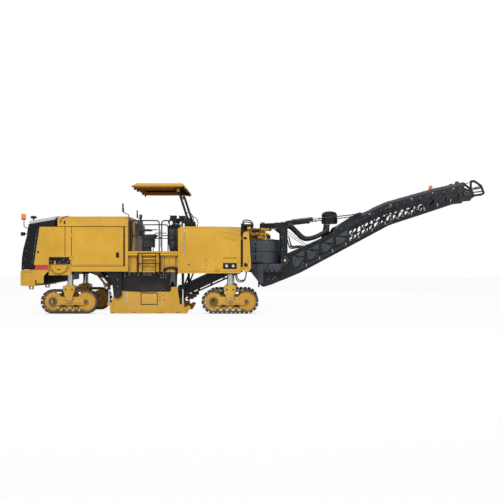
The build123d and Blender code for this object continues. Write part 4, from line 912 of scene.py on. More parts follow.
@dataclass
class Crawler:
    """One crawler's chain of pads and links, with the bolts, hub and hoses of its frame."""

    corner: str
    leg_x: float
    side: int
    leg_y: float = 1.05
    length: float = 1.77
    height: float = 0.756
    width: float = 0.30
    shoes: int = 30
    pad_depth: float = 0.045
    chain_depth: float = 0.042

    def _spot(self, distance: float, depth: float) -> tuple[Vector, float]:
        """Place on the loop, a distance along the chain and a depth outside it.

        Args:
            distance: metres along the chain from the middle of the lower run.
            depth: metres outwards.

        Returns:
            The place and the chain's turn there in radians.
        """
        radius, run = self.height / 2 - self.pad_depth, self.length - self.height
        half = run + pi * radius
        distance %= 2 * half
        side = 1 if distance < half else -1
        along = distance % half
        angle = max(0.0, along - run) / radius
        reach = radius + depth
        x = side * (min(along, run) - run / 2 + reach * sin(angle))
        return Vector((x, 0, self.height / 2 - side * reach * cos(angle))), angle + (0 if side > 0 else pi)

    def _piece(self, name: str, finish: Finish) -> Piece:
        """Start a piece that is drawn about the leg's axis."""
        return Piece(f"{name}_{self.corner}", finish, f"crawler_{self.corner}")

    def _set(self, piece: Piece, smooth: bool = True) -> bpy.types.Object:
        """Move a piece from the leg's axis to its corner, and hand it over."""
        piece.on_side(self.side).shift((self.leg_x, self.side * self.leg_y, 0))
        return piece.ready(smooth=smooth)

    def chain(self) -> None:
        """Pads outside, link plates inside."""
        pads, links = self._piece("track_pads", Finish.CHAIN), self._piece("track_links", Finish.LINKS)
        pitch = 2 * (self.length - self.height + pi * (self.height / 2 - self.pad_depth)) / self.shoes
        half, deep = self.width / 2, self.chain_depth / 2
        for shoe in range(self.shoes):
            middle = (shoe + 0.4) * pitch
            place, angle = self._spot(middle, self.pad_depth / 2)
            turn = Matrix.Rotation(-angle, 3, "Y")
            pads.around(place, (pitch * 0.39, half, self.pad_depth / 2), 0.006, turn)
            lip, _ = self._spot(middle + pitch * 0.34, self.pad_depth - 0.003)
            pads.around(lip, (0.009, half - 0.004, 0.0025), 0.0, turn)
            for y in (-0.085, 0.085):
                for shift, thick in ((0.0, 0.016), (0.5, 0.011)):
                    inner, angle = self._spot(middle + shift * pitch, -deep)
                    inner.y = y
                    links.around(inner, (pitch * 0.36, thick, deep), 0.004, Matrix.Rotation(-angle, 3, "Y"))
            hinge, _ = self._spot(middle + 0.5 * pitch, -deep)
            links.rod(hinge - Vector((0, 0.115, 0)), hinge + Vector((0, 0.115, 0)), 0.013, sides=8)
        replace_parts(self._set(pads, False), f"track_loop_{self.corner}")
        self._set(links, False)

    def frame(self) -> None:
        """Rollers' caps, motor cover, tension cover, yoke bolts and steps on the beam."""
        run, middle = (self.length - self.height) / 2, self.height / 2
        # Caps, cover rings and bolts in painted-shade brown: yellow paint darkened for shade under the
        # machine.
        caps = self._piece("track_caps", Finish.BROWN)
        for x in spread(-0.38, 0.38, 5):
            caps.ring((x, -0.115, 0.112), ((0, 0), (0.05, 0), (0.05, 0.006), (0.03, 0.02), (0, 0.022)), 16)
        motor = ((0, 0), (0.14, 0), (0.14, 0.004), (0.115, 0.012), (0.08, 0.012), (0.07, 0), (0, 0))
        caps.ring((-run, -0.14, middle), motor, 28)
        caps.ring((run, -0.13, middle), knob(0.066, 0.004, 0.05, 0.012), 24)
        caps.bolts([(x - run, -0.142, z + middle) for x, z in circle(12, 0.127)], 0.009, 0.01)
        caps.bolts([(x, -0.125, z) for x in (-0.12, 0.02, 0.16, 0.30) for z in (0.30, 0.44)], 0.010, 0.009)
        self._set(caps)
        covers = self._piece("track_covers", Finish.YELLOW)
        covers.blocks(
            0.003, (-0.10, -0.131, 0.315, 0.42, -0.123, 0.425), (0.10, -0.137, 0.345, 0.22, -0.125, 0.395),
            (-0.43, -0.131, 0.30, -0.16, -0.123, 0.36),
        )
        self._set(covers)
        guides = self._piece("track_guides", Finish.BLACK)
        for x in (-0.21, 0.21):
            for y in (-0.126, 0.126):
                guides.around((x, y, 0.2375), (0.07, 0.006, 0.0375), 0.004)
        for x in (-0.3, 0.28):
            guides.around((x, 0, 0.55), (0.05, 0.03, 0.05), 0.006)
        self._set(guides)
        yoke = self._piece("yoke_details", Finish.BOLT)
        face = -self.width / 2 - 0.045
        yoke.ring((0, face - 0.012, 0.4), knob(0.052, 0.006, 0.036, 0.012), 24)
        yoke.bolts([(x, face, 0.81) for x in (-0.15, 0.15)], 0.012, 0.01)
        yoke.bolts([(x, face, 0.5) for x in (-0.035, 0.035)], 0.009, 0.008)
        self._set(yoke)
        flange = self._piece("yoke_flange", Finish.YELLOW)
        rim = ((0.093, 0), (0.15, 0), (0.15, 0.022), (0.11, 0.028), (0.093, 0.028))
        flange.ring((0, 0, 0.862), rim, 32, UP)
        flange.bolts([(x, y, 0.886) for x, y in circle(8, 0.13, 0.2)], 0.009, 0.01, UP)
        self._set(flange)

    def build(self) -> None:
        """Build the chain, the frame, and two hoses from the yoke's crown to the drive motor."""
        self.chain()
        self.frame()
        hoses = self._piece("track_hoses", Finish.HOSE)
        route = (
            (-0.16, 0.05, 0.84), (-0.24, 0.05, 0.80), (-0.26, 0.09, 0.66), (-0.30, 0.105, 0.53),
            (-0.40, 0.11, 0.43)
        )
        for step in (0.0, 0.034):
            hoses.pipe([(x, y + step, z) for x, y, z in route], 0.011, 0.06, 10)
        self._set(hoses)


@dataclass
class Crawlers:
    """The four crawlers and the collars of their legs."""

    ends: tuple = (("rear", -5.8), ("front", -0.82))
    leg_y: float = 1.05

    def build(self) -> None:
        """Build the sleeve collars on the chassis, and then all four crawlers."""
        collars = Piece("leg_collars", Finish.BLACK)
        wiper = (
            (0.0935, 0), (0.128, 0), (0.135, 0.012), (0.135, 0.05), (0.1155, 0.06), (0.1155, 0.008),
            (0.0935, 0.004)
        )
        for _, x in self.ends:
            collars.ring((x, -self.leg_y, 1.215), wiper, 36, UP)
            spots = [(x + a, b - self.leg_y, 1.215) for a, b in circle(10, 0.124, 0.3)]
            collars.bolts(spots, 0.008, 0.009, (0, 0, -1))
        collars.pair()
        for end, x in self.ends:
            for name, side in SIDES:
                Crawler(f"{end}_{name}", x, side).build()


# Milling drum, chamber and side plates


@dataclass
class Drum:
    """Tool holders and picks wound round the drum, with paddles in the middle."""

    x: float = -3.5
    z: float = 0.52
    core: float = 0.36
    half: float = 0.985
    per_side: int = 44
    step: float = radians(34)

    def build(self) -> None:
        """Build holders, picks and paddles."""
        holders = Piece("tool_holders", Finish.STEEL, "drum")
        picks = Piece("cutting_picks", Finish.CARBIDE, "drum")
        for n in range(self.per_side):
            for side in (-1, 1):
                y = side * (0.03 + n * (self.half - 0.05) / (self.per_side - 1))
                angle = self.step * n + (pi if side > 0 else 0) + 0.4
                out, across = Vector((cos(angle), 0, sin(angle))), Vector((-sin(angle), 0, cos(angle)))
                foot = Vector((self.x, y, self.z)) + out * (self.core - 0.01)
                holders.rod(foot - across * 0.03, foot + out * 0.06 + across * 0.02, 0.034, 0.022, 8)
                start = foot + out * 0.05 + across * 0.012
                top = start + out * 0.05 + across * 0.03
                picks.rod(start, top, 0.013, 0.011, 8)
                picks.rod(top, top + out * 0.026 + across * 0.016, 0.011, 0.002, 8)
        paddles = Piece("drum_paddles", Finish.STEEL, "drum")
        for n in range(6):
            angle = n * pi / 3
            middle = Vector((self.x, 0, self.z)) + Vector((cos(angle), 0, sin(angle))) * (self.core + 0.035)
            paddles.around(middle, (0.05, 0.18, 0.012), 0.004, Matrix.Rotation(-angle, 3, "Y"))
        for piece in (holders, picks, paddles):
            piece.ready()


@dataclass
class MillingBox:
    """Bolts, slots and brackets on the chamber's walls and beside it."""

    wall_y: float = -1.055

    def build(self) -> None:
        """Bolt heads and slots on the walls, black brackets beside the box with a black band of painted shade
        under the sill, and struts under the sill coloured brown as painted shade.
        """
        y = self.wall_y
        row = [(-3.97, 1.2), (-3.69, 1.2), (-4.28, 1.18), (-4.10, 1.16)]
        row += [(x, z) for x in (-2.975, -2.9, -2.82) for z in (1.2, 1.12)]
        row += [(x, 1.255) for x in spread(-4.4, -2.75, 12)]
        Piece("chamber_bolts", Finish.BOLT).bolts([(x, y, z) for x, z in row], 0.012, 0.006).pair()
        slots = Piece("chamber_slots", Finish.BOLT)
        for z in (1.23, 1.19):
            slots.block((-3.54, y - 0.003, z - 0.006), (-3.255, y + 0.001, z + 0.006), 0.001)
        slots.pair()
        arms = Piece("box_arms_and_sill_shade", Finish.BLACK)
        rear = (
            (-4.90, 1.46), (-4.75, 1.475), (-4.05, 1.31), (-4.05, 1.295), (-4.12, 1.295), (-4.75, 1.40),
            (-4.86, 1.40)
        )
        arch = (
            (-2.90, 1.30), (-2.86, 1.42), (-2.62, 1.47), (-2.45, 1.43), (-2.43, 1.22),
            (-2.50, 1.22), (-2.52, 1.36), (-2.64, 1.40), (-2.79, 1.37), (-2.83, 1.30),
        )
        arms.plate(rear, -1.21, -1.14, 0.006).plate(arch, -1.20, -1.135, 0.006)
        arms.blocks(0.01, (-4.66, -1.18, 1.26, -4.52, -1.03, 1.40), (-2.36, -1.18, 1.26, -2.22, -1.03, 1.40))
        for x in (-4.59, -2.29):
            arms.ring((x, -1.08, 1.262), disc(0.056, 0.05), 20, UP)
            arms.ring((x, -1.08, 0.752), collar(0.043, 0.056, 0.034), 20, UP)
        # Black band under the sill: painted shade.
        arms.block((-5.73, -1.20, 1.35), (-4.78, -1.14, 1.45), 0.008)
        arms.pair()
        # Struts coloured brown as painted shade.
        struts = Piece("under_struts", Finish.BROWN)
        struts.rod((-5.05, -0.98, 1.30), (-4.70, -0.90, 0.86), 0.034, bevel=0.004)
        struts.rod((-4.92, -0.98, 1.30), (-4.62, -0.90, 0.92), 0.022)
        struts.plate(((-5.12, 1.32), (-4.86, 1.32), (-4.90, 1.24), (-5.08, 1.24)), -1.03, -0.88, 0.006)
        hook = (
            (-4.80, 0.93), (-4.62, 0.95), (-4.55, 1.02), (-4.48, 1.05), (-4.48, 0.99), (-4.56, 0.86),
            (-4.74, 0.80)
        )
        struts.plate(hook, -1.0, -0.86, 0.006)
        struts.pair("black_paint")


@dataclass
class SidePlates:
    """Frames of painted shadow round the step pocket, holes and slots painted dark as shade, ruler and wear
    shoe of the two floating side plates.
    """

    face_y: float = -1.095

    def build(self) -> None:
        """Build both plates' details."""
        y = self.face_y
        for name, side in SIDES:
            dark, ribs, bolts, rule = (
                Piece(f"{kind}_{name}", finish, f"plate_{name}")
                for kind, finish in (
                    ("plate_shade_marks", Finish.BLACK), ("plate_ribs", Finish.YELLOW),
                    ("plate_bolts", Finish.BOLT),
                    ("depth_rule", Finish.RULE),
                )
            )
            # Black frame round the step pocket: painted shadow; the discs and slots below are holes painted
            # dark as shade.
            dark.blocks(
                0.002, (-3.60, y - 0.006, 0.628, -3.08, y + 0.001, 0.652),
                (-3.60, y - 0.006, 0.268, -3.08, y + 0.001, 0.290),
                (-3.602, y - 0.006, 0.268, -3.580, y + 0.001, 0.652),
                (-3.092, y - 0.006, 0.268, -3.070, y + 0.001, 0.652),
            )
            for x, z in ((-3.0, 0.606), (-2.907, 0.56), (-3.0, 0.513), (-3.0, 0.42), (-2.88, 0.42)):
                dark.ring((x, y, z), disc(0.018, 0.003), 16)
            for x in (-4.463, -3.779, -2.969, -2.45):
                dark.block((x - 0.05, y - 0.0205, 0.026), (x + 0.05, y - 0.017, 0.04), 0.001)
            ribs.block((-3.58, y + 0.016, 0.285), (-3.10, y + 0.019, 0.634), 0.002)
            ribs.block((-4.50, y - 0.004, 0.070), (-2.19, y + 0.001, 0.082), 0.002)
            ribs.plate(((-4.49, 0.22), (-4.43, 0.46), (-4.41, 0.455), (-4.47, 0.22)), y - 0.008, y, 0.002)
            ribs.plate(((-2.64, 0.66), (-2.58, 0.80), (-2.50, 0.80), (-2.54, 0.66)), y - 0.008, y, 0.002)
            spots = [(x, y - 0.018, 0.052) for x in spread(-4.3, -2.4, 9)] + [(-3.30, y + 0.016, 0.60)]
            spots += [(x, y, z) for x, z in ((-3.88, 0.36), (-3.88, 0.30), (-2.75, 0.30), (-2.62, 0.30))]
            bolts.bolts(spots, 0.010, 0.007).block((-3.46, y + 0.004, 0.618), (-3.14, y + 0.017, 0.63), 0.002)
            rule.block((-4.05, y - 0.002, 0.30), (-4.01, y + 0.001, 0.64), 0.0005)
            for piece in (dark, ribs, bolts, rule):
                piece.on_side(side).ready()


class RearBrackets:
    """Black brackets and struts between the rear crawlers and the milling box."""

    def build(self) -> None:
        """Build both sides."""
        black = Piece("chamber_brackets", Finish.BLACK)
        outline = (
            (-5.00, 1.41), (-4.18, 1.41), (-4.18, 0.55), (-4.30, 0.46),
            (-4.43, 0.52), (-4.47, 0.90), (-4.66, 1.26), (-5.00, 1.36),
        )
        black.plate(outline, -1.165, -1.140, 0.006)
        black.rod((-4.32, -1.17, 0.58), (-4.32, -1.12, 0.58), 0.07, bevel=0.006)
        black.rod((-5.30, -0.62, 1.31), (-4.47, -0.62, 0.98), 0.045)
        black.rod((-5.02, -0.50, 1.31), (-4.47, -0.50, 0.80), 0.045).pair()
        row = ((-4.9, 1.37), (-4.6, 1.37), (-4.3, 1.37), (-4.3, 1.05), (-4.3, 0.85))
        Piece("chamber_bracket_bolts", Finish.BOLT).bolts(
            [(x, -1.165, z) for x, z in row], 0.013, 0.01
        ).pair()


# Rear end and engine house


@dataclass
class RearEnd:
    """Beacon foot, lamps, screens and bolts round the rear shroud and counterweight."""

    y: float = BODY_Y
    lamp: Point = (-7.255, -1.18, 2.47)

    def lamps(self) -> None:
        """Collar of the beacon, rims and lenses of the rear lamps, and the tail lights."""
        foot = ((0, 0), (0.055, 0), (0.07, 0.012), (0.07, 0.024), (0, 0.024))
        Piece("rear_beacon_foot", Finish.BLACK).ring((-7.228, -1.15, 2.915), foot, 24, UP).ready()
        rim = ((0.0555, 0.0), (0.062, 0.0), (0.062, 0.034), (0.050, 0.034), (0.050, 0.028), (0.0555, 0.028))
        Piece("rear_lamp_rims", Finish.BLACK).ring(self.lamp, rim, 28, BACK).pair()
        glass = ((0, 0.034), (0.02, 0.036), (0.049, 0.031), (0.049, 0), (0, 0))
        Piece("rear_lamp_lenses", Finish.CLEAR).ring(self.lamp, glass, 28, BACK).pair()
        brake = Piece("tail_lights", Finish.RED)
        for y in (-1.06, -0.94):
            brake.block((-7.299, y - 0.045, 1.19), (-7.282, y + 0.045, 1.28), 0.006)
        brake.pair()

    def shroud(self) -> None:
        """Frame of the louvred opening, painted highlights along the side seams, side vents, bolts and the
        grille's bars.
        """
        y = self.y
        frame = Piece("outlet_frame", Finish.BLACK)
        rear = ((-7.258, 1.44), (-7.236, 1.80), (-7.196, 2.05), (-7.115, 2.35), (-7.073, 2.65))
        for across in (-1.16, 0.0):
            frame.pipe([(x - 0.004, across, z) for x, z in rear], 0.018, 0.1)
        frame.both_sides()
        for x, z in (rear[0], (-7.146, 2.24), rear[-1]):
            frame.rod((x, -1.14, z), (x, 1.14, z), 0.012, sides=8)
        frame.ready()
        # Pale lines along the side seams: painted highlight.
        seams = Piece("shroud_seam_highlights", Finish.EDGE)
        seams.plate(
            ((-6.886, 1.508), (-6.708, 2.670), (-6.698, 2.670), (-6.876, 1.508)), y - 0.002, y + 0.004
        )
        seams.plate(
            ((-6.94, 1.55), (-6.80, 2.52), (-6.795, 2.52), (-6.935, 1.55)), y - 0.0015, y + 0.003
        ).pair()
        bolts = Piece("shroud_bolts", Finish.BOLT)
        for (x0, z0), (x1, z1) in (((-7.20, 1.45), (-7.02, 2.44)), ((-6.93, 1.60), (-6.76, 2.60))):
            bolts.bolts([(x, y, z) for x, z in zip(spread(x0, x1, 5), spread(z0, z1, 5))], 0.009, 0.006)
        bolts.pair()
        vents = Piece("shroud_vents", Finish.BLACK)
        for n in range(7):
            x, z = -7.10 + n * 0.006, 1.60 + n * 0.05
            vents.block((x, y - 0.006, z), (x + 0.13, y + 0.002, z + 0.018), 0.004)
        vents.pair()
        mesh = Piece("grille_mesh", Finish.BLACK)
        for across in spread(-1.1, 1.1, 23):
            mesh.pipe(((-6.99, across, 2.835), (-6.23, across, 2.975)), 0.004, 0, 6)
        mesh.ready()

    def counterweight(self) -> None:
        """Bolts, bars and plates on the counterweight."""
        bolts = Piece("counterweight_bolts", Finish.BOLT)
        bolts.bolts([(-7.26, y, 1.357) for y in (-1.1, -0.3, 0.3, 1.1)], 0.022, 0.02, UP)
        bolts.bolts([(-7.292, y, 0.93) for y in spread(-0.36, 0.36, 4)], 0.018, 0.008, BACK).ready()
        bars = Piece("counterweight_bars", Finish.BLACK)
        for z in (0.97, 1.11, 1.24):
            bars.rod((-7.262, -0.97, z), (-7.262, -0.43, z), 0.014, sides=10)
        bars.pair()
        plates = Piece("counterweight_plates", Finish.YELLOW)
        plates.block((-6.80, self.y + 0.012, 0.94), (-6.58, self.y + 0.022, 1.30), 0.004).pair()

    def build(self) -> None:
        """Build the rear end, with the low black cap on a stem over the shroud."""
        self.lamps()
        self.shroud()
        self.counterweight()
        cap = Piece("shroud_cap", Finish.BLACK).rod(
            (-6.985, -0.92, 2.80), (-6.985, -0.92, 2.98), 0.022, sides=14
        )
        dome = ((0, 0), (0.075, 0), (0.095, 0.02), (0.095, 0.055), (0.07, 0.08), (0, 0.085))
        cap.ring((-6.985, -0.92, 2.965), dome, 28, UP).ready()


@dataclass
class EngineHouse:
    """Seams, latches, handles and the service boxes on the engine house."""

    y: float = BODY_Y

    def seams(self) -> None:
        """Seals and dark gaps between the panels, painted shade along the hood's folds, and painted
        highlights along its top edges.
        """
        y = self.y
        lines = Piece("house_seams", Finish.BLACK)
        lines.blocks(
            0.0, (-6.69, y - 0.001, 2.690, -3.98, y + 0.004, 2.700),
            (-5.920, y - 0.001, 1.78, -5.914, y + 0.004, 2.69),
            (-5.716, y - 0.0005, 1.475, -5.708, y + 0.004, 2.685),
            (-6.44, y - 0.001, 1.506, -3.98, y + 0.004, 1.512),
        )
        lines.block((-4.112, y - 0.003, 1.475), (-4.066, y + 0.004, 2.690), 0.001).pair()
        Piece("house_gaps", Finish.BLACK).blocks(
            0.0, (-5.925, y - 0.0015, 1.79, -5.907, y + 0.001, 2.69),
            (-5.725, y - 0.0015, 1.79, -5.707, y + 0.001, 2.69),
            (-6.70, y - 0.0015, 2.690, -4.06, y + 0.001, 2.706),
            (-5.72, y - 0.0015, 1.466, -4.06, y + 0.001, 1.482),
        ).pair()
        # Darker yellow lines along the hood's folds: painted shade.
        folds = Piece("hood_fold_shades", Finish.SHADE_YELLOW, "engine_lid")
        for low, high in ((2.880, 2.886), (2.712, 2.716)):
            folds.block((-6.14, y - 0.0015, low), (-3.98, y + 0.004, high))
        folds.pair()
        # Pale yellow rods along the hood's top edges: painted highlight.
        pale = Piece("hood_edge_highlights", Finish.PALE_YELLOW, "engine_lid")
        pale.rod((-6.12, -1.153, 3.012), (-4.0, -1.153, 3.012), 0.005, sides=8)
        pale.rod((-6.12, y + 0.003, 2.905), (-4.0, y + 0.003, 2.905), 0.004, sides=8).pair()
        ribs = Piece("hood_ribs", Finish.YELLOW, "engine_lid")
        for x in (-5.6, -5.05, -4.5):
            ribs.block((x - 0.03, -1.05, 3.015), (x + 0.03, 1.05, 3.022), 0.003)
        ribs.block((-4.42, -0.35, 3.015), (-4.10, 0.35, 3.034), 0.01).ready()
        bars = Piece("hood_vent_bars", Finish.BLACK, "engine_lid")
        for x in spread(-4.39, -4.13, 9):
            bars.block((x - 0.006, -0.32, 3.034), (x + 0.006, 0.32, 3.040), 0.001)
        bars.ready()
        tail = ((0.05, 0), (0.085, 0), (0.085, 0.03), (0.075, 0.034), (0.05, 0.034))
        Piece("exhaust_tail", Finish.STEEL, "engine_lid").ring((-5.9, 0.55, 3.012), tail, 28, UP).ready()

    def handles(self) -> None:
        """Lid handle, fuel cap, and each door's latch, painted shade along its folds, and hinge bolts."""
        y = self.y
        grips = Piece("lid_handles", Finish.BLACK, "engine_lid")
        route = ((y - 0.006, 2.80), (y - 0.03, 2.90), (-1.20, 2.985), (-1.17, 3.024), (-1.14, 3.024))
        grips.pipe([(x, *rest) for x, rest in zip((-6.056, -6.05, -5.99, -5.90, -5.82), route)], 0.009, 0.04)
        grips.block((-5.955, y - 0.012, 2.775), (-5.905, y + 0.002, 2.868), 0.004).pair()
        caps = Piece("fuel_caps", Finish.BLACK).ring((-6.751, y, 1.911), knob(0.034, 0.008, 0.028, 0.012), 24)
        caps.ring((-6.28, y, 2.60), disc(0.014, 0.006), 16).pair()
        for name, side in SIDES:
            latch, folds, pins = (
                Piece(f"{kind}_{name}", finish, f"side_door_{name}")
                for kind, finish in (
                    ("door_latch", Finish.BLACK), ("door_fold_shades", Finish.SHADE_YELLOW),
                    ("hinge_bolts", Finish.BOLT)
                )
            )
            latch.block((-4.345, y - 0.004, 1.735), (-4.245, y + 0.001, 1.90), 0.002)
            latch.block((-4.325, y - 0.012, 1.76), (-4.265, y - 0.003, 1.84), 0.004)
            latch.ring((-4.295, y - 0.004, 1.87), disc(0.012, 0.006), 14)
            # Darker yellow lines along the door's folds: painted shade.
            for z in (1.53, 2.62):
                folds.block((-5.66, y - 0.002, z), (-4.17, y + 0.002, z + 0.006), 0.001)
            pins.bolts([(-5.65, y - 0.014, z) for z in (1.715, 1.775, 2.415, 2.475)], 0.008, 0.006)
            for piece in (latch, folds, pins):
                piece.on_side(side).ready()

    def service_boxes(self) -> None:
        """Dark recess with its valves, outlined lid, catch and bolts."""
        y, deep = self.y, self.y + 0.06
        Piece("service_recess", Finish.BLACK).block(
            (-6.418, deep - 0.003, 1.53), (-5.752, deep + 0.001, 1.76), 0.001
        ).pair()
        outline = Piece("service_lid_edges", Finish.BLACK)
        arc = [(0.262 * cos(a) - 6.105, y - 0.002, 1.503 - 0.262 * sin(a)) for a in spread(0.0, pi, 17)]
        outline.pipe(arc, 0.006, 0, 6)
        edge = ((-6.433, 1.30), (-6.433, 1.765), (-5.737, 1.765), (-5.737, 1.30))
        outline.pipe([(x, y + 0.004, z) for x, z in edge], 0.006, 0, 6)
        outline.block((-6.16, y - 0.010, 1.36), (-6.05, y, 1.385), 0.004).pair()
        valves = Piece("service_valves", Finish.IRON)
        body = ((0, 0), (0.03, 0), (0.03, 0.02), (0.016, 0.026), (0.016, 0.044), (0, 0.044))
        for x, z in ((-6.35, 1.62), (-6.10, 1.60), (-5.98, 1.66), (-5.84, 1.60)):
            valves.ring((x, deep - 0.003, z), body, 16)
        line = ((-6.35, 1.58), (-6.35, 1.55), (-5.84, 1.55))
        valves.pipe([(x, deep - 0.02, z) for x, z in line], 0.008, 0.02).pair()
        spots = [(x, deep, z) for x in (-6.40, -5.77) for z in (1.23, 1.32, 1.42)]
        Piece("service_bolts", Finish.BOLT).bolts(spots, 0.009, 0.006).pair()
        wedge = ((-6.84, 1.36), (-6.44, 1.36), (-6.68, 1.08), (-6.84, 1.07))
        Piece("corner_gussets", Finish.YELLOW).plate(wedge, -1.236, -1.229, 0.003).pair()

    def build(self) -> None:
        """Build the engine house's details."""
        self.seams()
        self.handles()
        self.service_boxes()


# Operator's platform and canopy


@dataclass
class Platform:
    """Treads, edge lines, the ladders' outlines of painted shadow and the rails' fittings."""

    y: float = BODY_Y
    deck_z: float = 1.932

    def deck(self) -> None:
        """Tread plates and the dark lines round the deck's edge."""
        y = self.y
        treads = Piece("deck_treads", Finish.TREAD)
        for low, high in ((-3.955, -3.30), (-3.29, -2.45)):
            for across in (-1.18, -0.39, 0.40):
                treads.block((low, across, self.deck_z), (high, across + 0.78, self.deck_z + 0.004), 0.001)
        treads.ready()
        lines = Piece("deck_lines", Finish.BLACK)
        lines.blocks(
            0.0, (-3.97, y - 0.002, 1.862, -2.43, y + 0.004, 1.870),
            (-3.97, y - 0.001, 1.800, -2.43, y + 0.004, 1.806)
        )
        for x in (-3.93, -2.86, -2.50):
            lines.block((x, -1.133, 1.32), (x + 0.012, -1.129, 1.80))
        lines.pair()

    def ladders(self) -> None:
        """Painted shadow beside the stiles and under the rungs, tubes on the stiles, and grips on the rungs.
        """
        y = self.y
        edges = Piece("ladder_shades_and_tubes", Finish.BLACK)
        # Black strips beside the stiles and at their feet: painted shadow.
        for x in (-3.61, -3.035):
            for side in (-0.07, 0.07):
                edges.block((x + side - 0.007, y - 0.002, 1.292), (x + side + 0.007, y + 0.004, 1.803), 0.001)
            edges.block((x - 0.07, y - 0.002, 1.292), (x + 0.07, y + 0.004, 1.305), 0.001)
        # Black lines under the rungs: painted shade.
        for z in (1.545, 1.73, 1.325):
            edges.block((-3.54, y - 0.001, z), (-3.105, y + 0.050, z + 0.006), 0.001)
        for x in (-3.655, -2.992):
            edges.pipe(
                ((x, y - 0.004, 1.885), (x, y - 0.022, 1.84), (x, y - 0.022, 1.32), (x, y + 0.03, 1.285)),
                0.019, 0.04
            )
        for z, out, radius in ((1.875, 0.012, 0.014), (1.555, 0.020, 0.013)):
            edges.pipe(((-3.655, y - out, z), (-2.992, y - out, z)), radius)
        for x in (-3.53, -3.115):
            edges.pipe(((x, y - 0.006, 1.86), (x, y - 0.006, 1.31)), 0.011)
        edges.pair()
        grips = Piece("rung_grips", Finish.BOLT)
        for z in (1.545, 1.73):
            for x in spread(-3.50, -3.14, 13):
                grips.rod((x, y + 0.022, z), (x, y + 0.022, z + 0.010), 0.008, sides=6)
        grips.pair()

    def rails(self) -> None:
        """Flanges at the rails' feet, inner hoop and gate latch."""
        feet = Piece("rail_feet", Finish.BLACK)
        for x in (-3.915, -3.012, -2.932, -2.52):
            feet.ring(
                (x, -1.205, self.deck_z), ((0.019, 0), (0.036, 0), (0.036, 0.01), (0.019, 0.016)), 18, UP
            )
        hoop = ((-3.52, 1.94), (-3.52, 2.50), (-3.44, 2.60), (-3.06, 2.60))
        feet.pipe([(x, -1.205, z) for x, z in hoop], 0.014, 0.09)
        feet.pipe(((-2.97, -1.205, 2.60), (-2.97, -1.205, 2.06)), 0.008)
        feet.block((-3.02, -1.222, 2.33), (-2.92, -1.188, 2.37), 0.006).pair()

    def cabinet(self) -> None:
        """Ribbed air duct up the front of the engine house, and the cabinet's lines and latches."""
        duct = Piece("cab_air_ducts", Finish.HOSE)
        bow = [(-3.915 + 0.05 * sin((z - 1.95) * 3.0), -1.165, z) for z in spread(1.95, 2.86, 24)]
        duct.pipe(bow, 0.036, 0, 14)
        for place in bow[1:-1]:
            duct.ring(place, ((0.03, -0.007), (0.042, -0.005), (0.042, 0.005), (0.03, 0.007)), 14, UP)
        duct.pair()
        lines = Piece("cabinet_lines", Finish.BLACK)
        for y in (-0.75, -0.38, 0.0, 0.38, 0.75):
            lines.block((-3.7905, y - 0.004, 1.98), (-3.787, y + 0.004, 2.80))
        lines.block((-3.7905, -1.1, 2.36), (-3.787, 1.1, 2.368)).ready()
        latches = Piece("cabinet_latches", Finish.BOLT)
        for y in (-0.56, -0.19, 0.19, 0.56):
            latches.ring((-3.79, y, 2.45), disc(0.02, 0.008, 0.01), 16, AHEAD)
        latches.ready()

    def build(self) -> None:
        """Build the platform's details."""
        self.deck()
        self.ladders()
        self.rails()
        self.cabinet()


